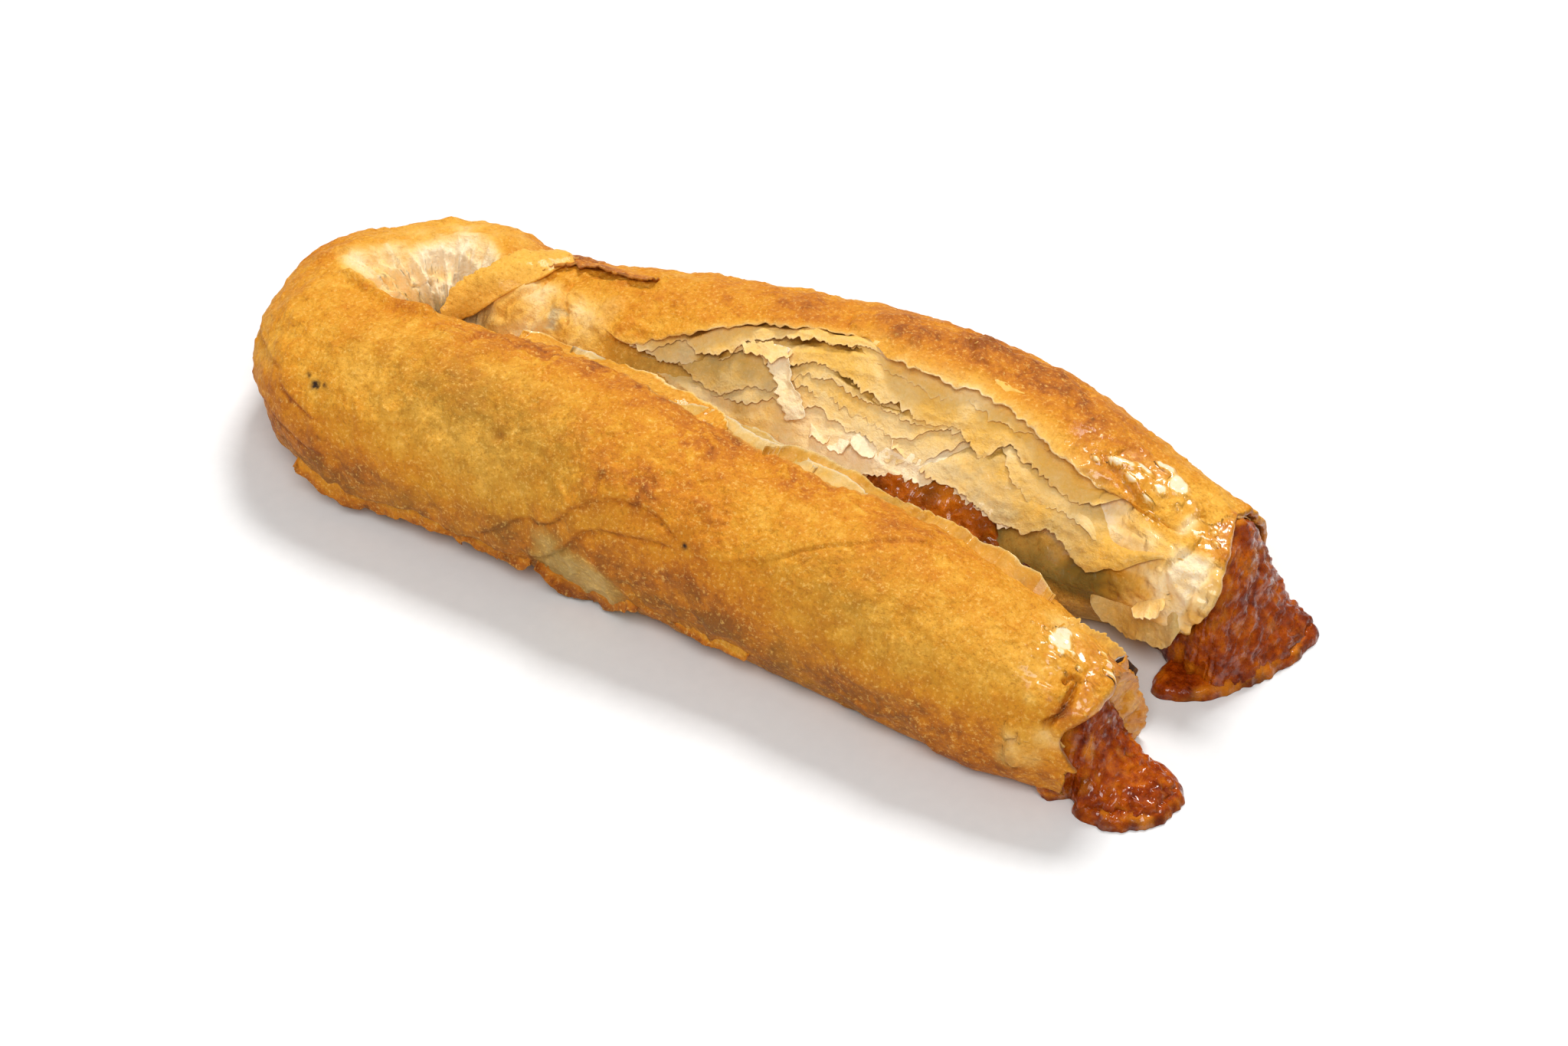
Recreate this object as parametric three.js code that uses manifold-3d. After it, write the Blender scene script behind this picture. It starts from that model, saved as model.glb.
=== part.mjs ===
// A borek: one long roll of flaky dough round a core of fruit filling, bent back on itself into a hairpin with two legs side by side and baked.
// The inner flank of the far leg has burst along its length, so its dough layers stand open in steps down to the filling, and the filling has
// run out of both cut ends onto the surface that the roll lies on.
// Millimetres. +X runs along the legs towards the open ends, +Y from the near leg to the far leg, +Z up. The roll lies on z = 0.
import * as THREE from "three";
import { mergeVertices } from "three/addons/utils/BufferGeometryUtils.js";
import Module from "manifold-3d";

const wasm = await Module();
wasm.setup();

// ---- driving sizes -------------------------------------------------------------------------------------------------------------------
const SHIFT = { x: 14.07, y: -11.06 }; // puts the bounding box's middle over the origin
const NEAR_END_X = 78.5; // cut end of the near leg
const FAR_END_X = 88; // cut end of the far leg
const SLANT = 0.2; // each cut leans forward at the top by this share of its height
const BEND = { x: -88, y: 7.2, rx: 21.5, ry: 19.8 }; // centre and half-axes of the bend in the roll's centre line
const NEAR_Y = -11.6; // near leg's centre line beside the bend
const NEAR_DRIFT = 5.4; // how far its open end has swung away from the far leg
const FAR_BULGE = { height: 11.2, x: 18, half: 92 }; // outward bow of the far leg's centre line
const FLOOR_SHARE = 0.44; // height of the section's widest line as a share of its full height
const FLAT_BASE = 1.18; // the lower half is drawn this much too deep and cut off at z = 0, which makes the flat base
const ROUND = 2.2; // superellipse power of an unbroken section
const BURST_OPEN = 1.15; // power of the burst flank's deepest face, nearly a straight slope
const BURST_SKIN = 1.95; // power of the skin above the burst
const LAYERS = 5; // steps of dough layers down the burst flank
const STEP = 0.014; // width of one step's riser, as a share of the quarter turn
const CORE = { half: 8.6, up: 7.2, mouthUp: 8.4 }; // half-width and half-height of the filling's core, and its half-height at the cut ends
const GAP = 0.35; // between dough and filling
const END_TAPER = { length: 9, scale: 0.74 }; // pinched-in cut ends

// Half-widths outwards and inwards and full height along the roll, at these lengths from the near leg's cut end.
const ALONG = [0, 17, 40, 84, 124, 150, 170, 184, 200, 214, 228, 242, 272, 310, 333, 357, 378, 395, 413];
const OUTWARD = [13.2, 16.0, 18.0, 19.3, 21.5, 22.6, 24.0, 23.2, 20.0, 17.2, 15.3, 15.0, 18.5, 19.7, 20.0, 20.0, 19.2, 17.8, 16.8];
const INWARD = [14.6, 17.7, 19.0, 19.5, 19.5, 19.0, 17.8, 16.6, 16.3, 16.3, 16.5, 17.6, 21.0, 26.0, 27.0, 25.5, 21.5, 17.8, 16.0];
const HEIGHT = [27.0, 32.0, 35.0, 37.0, 39.0, 38.0, 35.6, 34.0, 33.0, 31.8, 31.0, 29.8, 35.0, 38.8, 39.2, 38.0, 35.0, 32.4, 29.5];

// ---- helpers -------------------------------------------------------------------------------------------------------------------------
const clamp = (v, a, b) => Math.min(b, Math.max(a, v));
const smooth = (a, b, v) => {
  const t = clamp((v - a) / (b - a), 0, 1);
  return t * t * (3 - 2 * t);
};
// Smooth interpolation of a short table, with slopes taken from the neighbours.
function table(xs, ys, x) {
  const n = xs.length;
  let i = 0;
  while (i < n - 2 && x > xs[i + 1]) i++;
  const slope = (k) => (k <= 0 || k >= n - 1 ? 0 : (ys[k + 1] - ys[k - 1]) / (xs[k + 1] - xs[k - 1]));
  const h = xs[i + 1] - xs[i],
    t = clamp((x - xs[i]) / h, 0, 1);
  return (
    (2 * t ** 3 - 3 * t ** 2 + 1) * ys[i] + (t ** 3 - 2 * t ** 2 + t) * h * slope(i) +
    (-2 * t ** 3 + 3 * t ** 2) * ys[i + 1] + (t ** 3 - t ** 2) * h * slope(i + 1)
  );
}

// ---- centre line of the roll -----------------------------------------------------------------------------------------------------------
const nearY = (x) => NEAR_Y - NEAR_DRIFT * smooth(-70, 110, x) - 1.0 * smooth(-40, -88, x);
const farY = (x) => {
  const t = clamp((x - FAR_BULGE.x) / FAR_BULGE.half, -1, 1);
  return BEND.y + BEND.ry + (FAR_BULGE.height / 2) * (1 + Math.cos(Math.PI * t));
};
const line = [];
for (let x = NEAR_END_X; x > BEND.x; x -= 1) line.push([x, nearY(x)]);
for (let a = 0; a <= 180; a += 3) {
  const r = (a * Math.PI) / 180;
  line.push([BEND.x - BEND.rx * Math.sin(r), BEND.y - BEND.ry * Math.cos(r)]);
}
for (let x = BEND.x + 1; x <= FAR_END_X; x += 1) line.push([x, farY(x)]);
const run = [0];
for (let i = 1; i < line.length; i++) run.push(run[i - 1] + Math.hypot(line[i][0] - line[i - 1][0], line[i][1] - line[i - 1][1]));
const LENGTH = run[run.length - 1];
function at(s) {
  const v = clamp(s, 0, LENGTH);
  let i = 0;
  while (i < run.length - 2 && run[i + 1] < v) i++;
  const t = (v - run[i]) / (run[i + 1] - run[i]);
  return [line[i][0] + (line[i + 1][0] - line[i][0]) * t, line[i][1] + (line[i + 1][1] - line[i][1]) * t];
}
// Point on the centre line with its direction and outward normal; beyond the cut ends the line runs straight on.
function frame(s) {
  const a = at(s - 3),
    b = at(s + 3),
    c = at(s);
  const l = Math.hypot(b[0] - a[0], b[1] - a[1]);
  const t = [(b[0] - a[0]) / l, (b[1] - a[1]) / l];
  const over = s < 0 ? s : s > LENGTH ? s - LENGTH : 0;
  return { x: c[0] + t[0] * over, y: c[1] + t[1] * over, n: [-t[1], t[0]], t };
}

// ---- section of the dough --------------------------------------------------------------------------------------------------------------
const BURST = { from: LENGTH - 152, to: LENGTH - 12 }; // stretch of the far leg whose inner flank is open
const opened = (s) => smooth(BURST.from, BURST.from + 34, s) * (1 - smooth(BURST.to - 22, BURST.to, s));
// Where layer k of the burst ends, as a share of the quarter turn from the ridge down to the valley.
function layerEdge(k, s) {
  const t = clamp((s - BURST.from) / (BURST.to - BURST.from), 0, 1);
  const low = 1 - 0.035 * (LAYERS + 1 - k);
  const target = 0.13 + (0.8 * (k - 1)) / LAYERS + 0.03 * Math.sin(9 * t + 2.1 * k);
  return low + (target - low) * smooth(0.02 * k, 0.3 + 0.03 * k, t) * (1 - 0.35 * smooth(0.8, 1, t));
}
// Small folds of the dough: the wrap's edge that runs slantwise round the near leg, the gathers inside the bend and a gentle unevenness.
function fold(s, phi) {
  const deg = (phi * 180) / Math.PI;
  const seam = 62 - 0.62 * (s - 30); // slanting edge of the outer wrap
  const step = smooth(seam - 10, seam, deg) * (1 - smooth(seam, seam + 45, deg)) * (1 - smooth(130, 175, s));
  const inBend = smooth(168, 182, s) * (1 - smooth(232, 246, s)) * smooth(95, 140, deg) * (1 - smooth(185, 215, deg));
  return 0.9 * step + 1.0 * inBend * Math.cos((s - 168) * 0.75) + 0.45 * Math.sin(s * 0.11 + 1.3 * Math.sin(phi)) * Math.sin(2 * phi + s * 0.05);
}
function taper(s) {
  const d = Math.min(s, LENGTH - s);
  const t = clamp(1 - d / END_TAPER.length, 0, 1);
  return 1 - (1 - END_TAPER.scale) * t * t;
}
// Outline point at angle phi: 0 is outwards, a quarter turn is up, a half turn is inwards. grow moves it out by that much.
function section(s, phi, depth, grow) {
  const o = table(ALONG, OUTWARD, s),
    i = table(ALONG, INWARD, s),
    h = table(ALONG, HEIGHT, s),
    zc = FLOOR_SHARE * h;
  const c = Math.cos(phi),
    d = Math.sin(phi);
  const burstHere = opened(s);
  const power = (up, inw) => (up && inw ? ROUND + (BURST_SKIN - ROUND) * burstHere : ROUND);
  const point = (p) => {
    const x = Math.sign(c) * Math.abs(c) ** (2 / p) * (c > 0 ? o : i);
    const z = d > 0 ? zc + (h - zc) * Math.abs(d) ** (2 / p) : zc - FLAT_BASE * zc * Math.abs(d) ** (2 / p);
    return [x, z];
  };
  let [x, z] = point(power(d > 0, c < 0));
  if (d > 0 && c < 0 && depth > 0) {
    const [dx, dz] = point(BURST_OPEN);
    x += (dx - x) * depth * burstHere;
    z += (dz - z) * depth * burstHere;
  }
  const g = grow + (z > 2 ? fold(s, phi) * (1 - burstHere * (d > 0 && c < 0 ? 1 : 0)) : 0);
  x += g * c;
  z += g * d;
  const k = taper(s),
    mid = FLOOR_SHARE * h * 0.94;
  return [x * k, Math.max(mid + (z - mid) * k, 0)];
}

// Closed tube through rings of points, with a flat fan at each end.
function tube(rings) {
  const pos = [],
    tri = [],
    m = rings[0].length;
  for (const r of rings) for (const p of r) pos.push(...p);
  for (let i = 0; i + 1 < rings.length; i++)
    for (let j = 0; j < m; j++) {
      const a = i * m + j,
        b = i * m + ((j + 1) % m),
        c = a + m,
        d = b + m;
      tri.push(a, c, b, b, c, d);
    }
  for (const [ring, flip] of [[0, false], [rings.length - 1, true]]) {
    const mid = [0, 1, 2].map((k) => rings[ring].reduce((v, p) => v + p[k], 0) / m);
    const id = pos.length / 3;
    pos.push(...mid);
    for (let j = 0; j < m; j++) {
      const a = ring * m + j,
        b = ring * m + ((j + 1) % m);
      tri.push(...(flip ? [id, b, a] : [id, a, b]));
    }
  }
  const g = new THREE.BufferGeometry();
  g.setAttribute("position", new THREE.Float32BufferAttribute(pos, 3));
  g.setIndex(tri);
  return g;
}
function solid(g) {
  const clean = g.clone();
  clean.deleteAttribute("normal");
  clean.deleteAttribute("uv");
  const merged = mergeVertices(clean, 1e-4);
  const make = (index) =>
    new wasm.Manifold(new wasm.Mesh({ numProp: 3, vertProperties: new Float32Array(merged.attributes.position.array), triVerts: new Uint32Array(index) }));
  const index = Array.from(merged.index.array);
  const made = make(index);
  if (made.volume() > 0) return made;
  for (let i = 0; i < index.length; i += 3) [index[i + 1], index[i + 2]] = [index[i + 2], index[i + 1]];
  return make(index);
}
function geometry(manifold) {
  const m = manifold.getMesh(),
    pos = new Float32Array(m.numVert * 3);
  for (let i = 0; i < m.numVert; i++) pos.set(m.vertProperties.subarray(i * m.numProp, i * m.numProp + 3), i * 3);
  const g = new THREE.BufferGeometry();
  g.setAttribute("position", new THREE.BufferAttribute(pos, 3));
  g.setIndex(new THREE.BufferAttribute(new Uint32Array(m.triVerts), 1));
  g.computeVertexNormals();
  return g;
}

// ---- the roll of dough -----------------------------------------------------------------------------------------------------------------
const OUTER_POINTS = 15; // from under the roll, round the outside, to the ridge
const LOW_INNER_POINTS = 6;
function doughRing(s, grow) {
  const f = frame(s),
    ring = [];
  const add = (phi, depth) => {
    const [x, z] = section(clamp(s, 0, LENGTH), phi, depth, grow);
    const lean = SLANT * (z - 8) * (1 - smooth(0, 22, Math.min(s, LENGTH - s))) * (s < LENGTH / 2 ? -1 : 1);
    ring.push([f.x + f.n[0] * x + f.t[0] * lean, f.y + f.n[1] * x + f.t[1] * lean, z]);
  };
  for (let j = 0; j < OUTER_POINTS; j++) add(-Math.PI / 2 + (Math.PI * j) / OUTER_POINTS, 0);
  add(Math.PI / 2, 0);
  for (let k = 1; k <= LAYERS; k++) {
    const q = layerEdge(k, s);
    add((Math.PI / 2) * (1 + q), (k - 1) / LAYERS);
    add((Math.PI / 2) * (1 + q + STEP), k / LAYERS);
  }
  for (let j = 0; j < LOW_INNER_POINTS; j++) add(Math.PI + ((Math.PI / 2) * (j + 0.15)) / LOW_INNER_POINTS, 0);
  return ring;
}
// Rings along the roll: close together at the cut ends and round the bend, wider apart on the legs.
const BEND_RUN = { from: 164, to: 232 };
function spread(wide, bend, ends) {
  const inBend = (s) => smooth(BEND_RUN.from - 12, BEND_RUN.from, s) * (1 - smooth(BEND_RUN.to, BEND_RUN.to + 12, s));
  const list = [0];
  while (list[list.length - 1] < LENGTH) {
    const s = list[list.length - 1],
      end = 1 - smooth(4, 24, Math.min(s, LENGTH - s));
    list.push(s + wide + (bend - wide) * inBend(s) + (ends - wide) * end);
  }
  const k = LENGTH / list[list.length - 1];
  return list.map((s) => s * k);
}
const stations = spread(6.6, 3.4, 2.2);
const rollOuter = solid(tube(stations.map((s) => doughRing(s, 0))));
const grown = [-GAP, ...stations.slice(1, -1), LENGTH + GAP];
const rollClearance = solid(tube(grown.map((s) => doughRing(s, GAP))));

// ---- the core of filling ---------------------------------------------------------------------------------------------------------------
const SPLIT = { from: LENGTH - 86, to: LENGTH - 40 }; // where the core has swelled towards the burst
function coreRing(s, grow, points) {
  const f = frame(s),
    v = clamp(s, 0, LENGTH),
    h = table(ALONG, HEIGHT, v),
    end = 1 - smooth(0, 16, Math.min(v, LENGTH - v));
  const swell = smooth(SPLIT.from, SPLIT.from + 16, v) * (1 - smooth(SPLIT.to - 16, SPLIT.to, v));
  const a = CORE.half + grow,
    b = CORE.up + (CORE.mouthUp - CORE.up) * end + grow,
    z = 0.42 * h,
    off = -7.5 * swell;
  return Array.from({ length: points }, (_, j) => {
    const p = (2 * Math.PI * j) / points,
      x = off + Math.cos(p) * (a + 1.5 * swell);
    return [f.x + f.n[0] * x, f.y + f.n[1] * x, z + Math.sin(p) * b];
  });
}
const CORE_POINTS = 12,
  OUT = 2.5; // the core stands this far out of each cut end, inside the run-out filling
const coreLine = [-OUT, ...spread(10, 5, 4.5).slice(1, -1), LENGTH + OUT];
const bore = solid(tube(coreLine.map((s) => coreRing(s, GAP, CORE_POINTS))));
const core = solid(tube(coreLine.map((s) => coreRing(s, 0, CORE_POINTS))));

// ---- filling run out of the ends: rows of sections across the flow -------------------------------------------------------------------------
// Each row: distance past the cut end, middle across, half-width to the near side and to the far side, top of the filling.
function tongue(rows, x0) {
  const points = 22;
  const rings = rows.map(([dx, y, left, right, top]) =>
    Array.from({ length: points }, (_, j) => {
      const p = (2 * Math.PI * j) / points,
        c = Math.cos(p),
        d = Math.sin(p);
      const x = Math.sign(c) * Math.abs(c) ** 0.9 * (c > 0 ? right : left);
      return [x0 + dx, y + x, d > 0 ? top * Math.abs(d) ** 1.15 : 0.02 * d];
    }).map((p) => [p[0], p[1], Math.max(p[2], 0)]),
  );
  // the base is one flat sheet, so each ring keeps only its upper arc and two base corners
  const arcs = rings.map((r) => [...r.slice(0, points / 2 + 1)]);
  return solid(tube(arcs));
}
const NEAR_FLOW = [
  [0.4, -16.4, 8.0, 8.2, 20.5], [3.0, -16.2, 8.0, 8.8, 15.5], [6.2, -15.6, 8.6, 9.6, 9.0], [10, -15.2, 9.8, 10.2, 5.8],
  [14, -14.8, 9.8, 9.4, 4.6], [17.2, -14.2, 7.6, 7.4, 3.6], [19.4, -13.6, 4.4, 4.4, 2.0],
];
const FAR_FLOW = [
  [0.4, 29.6, 9.0, 8.6, 22.5], [2.6, 29.8, 11.0, 10.5, 17.5], [5.2, 30.8, 13.0, 12.6, 11.5], [7.8, 33.0, 11.0, 12.6, 6.6],
  [10.4, 36.4, 8.0, 9.6, 4.2], [12.6, 40.4, 4.2, 4.6, 2.6], [13.6, 42.4, 1.8, 2.0, 1.4],
];
const nearFlow = tongue(NEAR_FLOW, NEAR_END_X);
const farFlow = tongue(FAR_FLOW, FAR_END_X);
// A flat lobe of filling that has crept back beside the far leg's end.
const lobe = new THREE.SphereGeometry(1, 16, 10);
lobe.scale(8.5, 4.4, 2.6);
lobe.rotateZ(0.55);
lobe.translate(86.5, 16.6, 0.4);
const floorCut = new THREE.BoxGeometry(400, 400, 60);
floorCut.translate(0, 0, -30);
const runOut = nearFlow.add(farFlow).add(solid(lobe)).subtract(solid(floorCut)).subtract(rollClearance);

// ---- the split that shows the filling -----------------------------------------------------------------------------------------------------
function splitShape(grow) {
  const g = new THREE.SphereGeometry(1, 26, 14);
  g.scale(20 + grow, 7.2 + grow, 6.4 + grow);
  g.rotateX(-0.75);
  g.rotateZ(-0.12);
  g.translate(24, 17.6, 19.5);
  return solid(g);
}
// Half-space above the burst's slope; the filling stays just under it.
const above = new THREE.BoxGeometry(90, 60, 40);
above.translate(0, 0, 20);
above.rotateX(0.86);
above.rotateZ(-0.1);
above.translate(24, 17.2, 20.2);
const blob = splitShape(0).subtract(solid(above));

const dough = rollOuter.subtract(bore).subtract(splitShape(GAP));
const filling = core.add(blob).add(runOut);
const keepBiggest = (m) => m.decompose().sort((a, b) => b.volume() - a.volume())[0];

// ---- the part ------------------------------------------------------------------------------------------------------------------------------
const part = new THREE.Group();
function piece(name, manifold, colour, roughness) {
  const mesh = new THREE.Mesh(geometry(manifold), new THREE.MeshStandardMaterial({ color: colour, roughness, metalness: 0 }));
  mesh.name = name;
  mesh.position.set(SHIFT.x, SHIFT.y, 0);
  part.add(mesh);
}
piece("dough_roll", keepBiggest(dough), 0xcf9345, 0.55);
piece("filling", keepBiggest(filling), 0xa3430f, 0.2);

export default part;
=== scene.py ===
# A borek: one roll of flaky dough bent double round a fruit filling, browned, burst along the far leg's inner flank, with filling run out of
# both cut ends. The dough is one fine skin swept along the roll, with separate thin leaves of dough standing open on the burst flank.
import math
import bpy
import numpy as np
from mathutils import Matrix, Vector


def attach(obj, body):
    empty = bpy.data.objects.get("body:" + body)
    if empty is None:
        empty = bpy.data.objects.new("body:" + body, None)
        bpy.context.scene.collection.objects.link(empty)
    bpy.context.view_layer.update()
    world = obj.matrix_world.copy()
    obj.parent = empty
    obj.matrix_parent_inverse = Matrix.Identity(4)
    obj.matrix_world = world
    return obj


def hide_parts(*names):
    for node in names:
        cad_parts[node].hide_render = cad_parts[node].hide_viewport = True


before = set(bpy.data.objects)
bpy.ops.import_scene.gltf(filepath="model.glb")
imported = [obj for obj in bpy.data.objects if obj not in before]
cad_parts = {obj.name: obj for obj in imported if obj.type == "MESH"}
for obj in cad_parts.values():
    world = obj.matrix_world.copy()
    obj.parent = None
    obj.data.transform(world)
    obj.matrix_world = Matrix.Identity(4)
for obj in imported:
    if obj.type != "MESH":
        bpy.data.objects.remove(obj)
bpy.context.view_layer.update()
MM = 0.001

# ---- the roll's own sizes, in millimetres, as in the solids -----------------------------------------------------------------------------
SHIFT = np.array([14.07, -11.06])
NEAR_END_X, FAR_END_X, SLANT = 78.5, 88.0, 0.2
BX, BY, RX, RY = -88.0, 7.2, 21.5, 19.8
NEAR_Y, NEAR_DRIFT = -11.6, 5.4
FLOOR_SHARE, FLAT_BASE, ROUND, BURST_OPEN, BURST_SKIN = 0.44, 1.18, 2.2, 1.15, 1.95
ALONG = [0, 17, 40, 84, 124, 150, 170, 184, 200, 214, 228, 242, 272, 310, 333, 357, 378, 395, 413]
OUTWARD = [13.2, 16.0, 18.0, 19.3, 21.5, 22.6, 24.0, 23.2, 20.0, 17.2, 15.3, 15.0, 18.5, 19.7, 20.0, 20.0, 19.2, 17.8, 16.8]
INWARD = [14.6, 17.7, 19.0, 19.5, 19.5, 19.0, 17.8, 16.6, 16.3, 16.3, 16.5, 17.6, 21.0, 26.0, 27.0, 25.5, 21.5, 17.8, 16.0]
HEIGHT = [27.0, 32.0, 35.0, 37.0, 39.0, 38.0, 35.6, 34.0, 33.0, 31.8, 31.0, 29.8, 35.0, 38.8, 39.2, 38.0, 35.0, 32.4, 29.5]


# ---- small maths -------------------------------------------------------------------------------------------------------------------------
def smooth(a, b, v):
    t = np.clip((np.asarray(v, float) - a) / (b - a), 0, 1)
    return t * t * (3 - 2 * t)


def table(xs, ys, x):
    """Smooth interpolation of a short table."""
    xs, ys = np.array(xs, float), np.array(ys, float)
    x = np.clip(np.asarray(x, float), xs[0], xs[-1])
    i = np.clip(np.searchsorted(xs, x, side="left") - 1, 0, len(xs) - 2)
    m = np.zeros_like(ys)
    if len(xs) > 2:
        m[1:-1] = (ys[2:] - ys[:-2]) / (xs[2:] - xs[:-2])
    h = xs[i + 1] - xs[i]
    t = np.clip((x - xs[i]) / h, 0, 1)
    return (2 * t**3 - 3 * t**2 + 1) * ys[i] + (t**3 - 2 * t**2 + t) * h * m[i] + (-2 * t**3 + 3 * t**2) * ys[i + 1] + (t**3 - t**2) * h * m[i + 1]


def curve(points, x):
    """Smooth curve through (x, y) control points."""
    p = sorted(points)
    return table([a for a, _ in p], [b for _, b in p], x)


class Noise:
    """Seeded gradient noise on arrays of points, about -1 to 1."""

    def __init__(self, seed):
        r = np.random.default_rng(seed)
        self.p = np.tile(r.permutation(256), 3)
        g = r.normal(size=(256, 3))
        self.g = g / np.linalg.norm(g, axis=1, keepdims=True)

    def __call__(self, P, size):
        Q = np.asarray(P, float) / size
        shape = Q.shape[:-1]
        Q = Q.reshape(-1, 3)
        i = np.floor(Q).astype(int)
        f = Q - i
        u = f * f * f * (f * (f * 6 - 15) + 10)
        i &= 255
        out = np.zeros(len(Q))
        for dx in (0, 1):
            for dy in (0, 1):
                for dz in (0, 1):
                    h = self.p[self.p[self.p[(i[:, 0] + dx) & 255] + ((i[:, 1] + dy) & 255)] + ((i[:, 2] + dz) & 255)]
                    w = (u[:, 0] if dx else 1 - u[:, 0]) * (u[:, 1] if dy else 1 - u[:, 1]) * (u[:, 2] if dz else 1 - u[:, 2])
                    d = self.g[h]
                    out += w * (d[:, 0] * (f[:, 0] - dx) + d[:, 1] * (f[:, 1] - dy) + d[:, 2] * (f[:, 2] - dz))
        return (out * 1.5).reshape(shape)

    def fbm(self, P, size, octaves=4, gain=0.5):
        v, a, t = 0.0, 1.0, 0.0
        for k in range(octaves):
            v = v + a * self(np.asarray(P) + 17.3 * k, size / 2**k)
            t += a
            a *= gain
        return v / t


N1, N2, N3, N4 = Noise(11), Noise(23), Noise(37), Noise(59)


# ---- centre line and section -----------------------------------------------------------------------------------------------------------------
def far_y(x):
    t = np.clip((x - 18.0) / 92.0, -1, 1)
    return BY + RY + 5.6 * (1 + np.cos(np.pi * t))


def near_y(x):
    return NEAR_Y - NEAR_DRIFT * smooth(-70, 110, x) - 1.0 * smooth(-40, -88, x)


LINE = []
_x = NEAR_END_X
while _x > BX:
    LINE.append((_x, float(near_y(_x))))
    _x -= 1
for _a in range(0, 181, 3):
    _r = math.radians(_a)
    LINE.append((BX - RX * math.sin(_r), BY - RY * math.cos(_r)))
_x = BX + 1
while _x <= FAR_END_X:
    LINE.append((_x, float(far_y(_x))))
    _x += 1
LINE = np.array(LINE) + SHIFT
RUN = np.concatenate([[0], np.cumsum(np.hypot(*np.diff(LINE, axis=0).T))])
LENGTH = float(RUN[-1])


def at(s):
    s = np.clip(s, 0, LENGTH)
    return np.stack([np.interp(s, RUN, LINE[:, 0]), np.interp(s, RUN, LINE[:, 1])], -1)


def rail(s):
    a, b, c = at(s - 3), at(s + 3), at(s)
    d = b - a
    t = d / np.linalg.norm(d, axis=-1, keepdims=True)
    over = np.where(s < 0, s, np.where(s > LENGTH, s - LENGTH, 0.0))[..., None]
    return c + t * over, np.stack([-t[..., 1], t[..., 0]], -1), t


B0, B1 = LENGTH - 152, LENGTH - 12


def opened(s):
    return smooth(B0, B0 + 34, s) * (1 - smooth(B1 - 22, B1, s))


def section(s, phi, depth):
    o, i, h = table(ALONG, OUTWARD, s), table(ALONG, INWARD, s), table(ALONG, HEIGHT, s)
    zc = FLOOR_SHARE * h
    c, d = np.cos(phi), np.sin(phi)
    b = opened(s)

    def pt(p):
        X = np.sign(c) * np.abs(c) ** (2 / p) * np.where(c > 0, o, i)
        Z = np.where(d > 0, zc + (h - zc) * np.abs(d) ** (2 / p), zc - FLAT_BASE * zc * np.abs(d) ** (2 / p))
        return X, Z

    inn = (c < 0) & (d > 0)
    X, Z = pt(np.where(inn, ROUND + (BURST_SKIN - ROUND) * b, ROUND))
    DX, DZ = pt(BURST_OPEN + 0 * c)
    w = np.where(inn, depth * b, 0.0)
    X, Z = X + (DX - X) * w, Z + (DZ - Z) * w
    e = np.minimum(s, LENGTH - s)
    t = np.clip(1 - e / 9.0, 0, 1)
    k = 1 - 0.09 * t * t
    mid = FLOOR_SHARE * h * 0.94
    return X * k, mid + (Z - mid) * k


def point(s, phi, depth=0.0):
    """Point of the skin (depth 0) or of the burst flank's deepest face (depth 1): phi in radians, 0 outwards, a quarter turn up."""
    s, phi, depth = np.broadcast_arrays(np.asarray(s, float), np.asarray(phi, float), np.asarray(depth, float))
    X, Z = section(s, phi, depth)
    c, n, t = rail(s)
    lean = SLANT * (Z - 8) * (1 - smooth(0, 22, np.minimum(s, LENGTH - s))) * np.where(s < LENGTH / 2, -1, 1)
    xy = c + n * X[..., None] + t * lean[..., None]
    return np.concatenate([xy, Z[..., None]], -1)


def normals(P, wrap=False):
    """Unit normals of a grid of points, rows along the roll and columns round it, pointing away from the roll."""
    du = np.gradient(P, axis=0)
    if wrap:
        dv = np.roll(P, -1, axis=1) - np.roll(P, 1, axis=1)
    else:
        dv = np.gradient(P, axis=1)
    n = np.cross(dv, du)
    return n / np.maximum(np.linalg.norm(n, axis=-1, keepdims=True), 1e-9)


def q2phi(q):
    return np.pi / 2 * (1 + np.asarray(q, float))


# ---- mesh making ------------------------------------------------------------------------------------------------------------------------------
def build(name, verts, faces, mat, attrs=None, smooth_shade=True, vn=None):
    """One mesh piece from points in millimetres and quads or triangles."""
    verts = np.asarray(verts, float) * MM
    me = bpy.data.meshes.new(name)
    blocks = faces if isinstance(faces, list) else [faces]
    sizes = np.concatenate([np.full(len(b), b.shape[1]) for b in blocks])
    flat = np.concatenate([b.ravel() for b in blocks])
    me.vertices.add(len(verts))
    me.vertices.foreach_set("co", verts.astype(np.float32).ravel())
    me.loops.add(len(flat))
    me.loops.foreach_set("vertex_index", flat.astype(np.int32))
    me.polygons.add(len(sizes))
    me.polygons.foreach_set("loop_start", np.concatenate([[0], np.cumsum(sizes)[:-1]]).astype(np.int32))
    me.polygons.foreach_set("loop_total", sizes.astype(np.int32))
    me.update(calc_edges=True)
    me.validate()
    me.polygons.foreach_set("use_smooth", np.full(len(me.polygons), smooth_shade))
    if vn is not None:
        me.normals_split_custom_set_from_vertices(vn)
    for k, v in (attrs or {}).items():
        a = me.attributes.new(k, "FLOAT", "POINT")
        a.data.foreach_set("value", np.asarray(v, np.float32).ravel())
    me.materials.append(mat)
    o = bpy.data.objects.new(name, me)
    bpy.context.scene.collection.objects.link(o)
    return o


def quads(rows, cols, wrap=False, base=0, flip=False):
    i, j = np.meshgrid(np.arange(rows - 1), np.arange(cols if wrap else cols - 1), indexing="ij")
    k = (j + 1) % cols
    a, b, c, d = i * cols + j, i * cols + k, (i + 1) * cols + k, (i + 1) * cols + j
    f = np.stack([a, b, c, d] if not flip else [a, d, c, b], -1).reshape(-1, 4) + base
    return f


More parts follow.
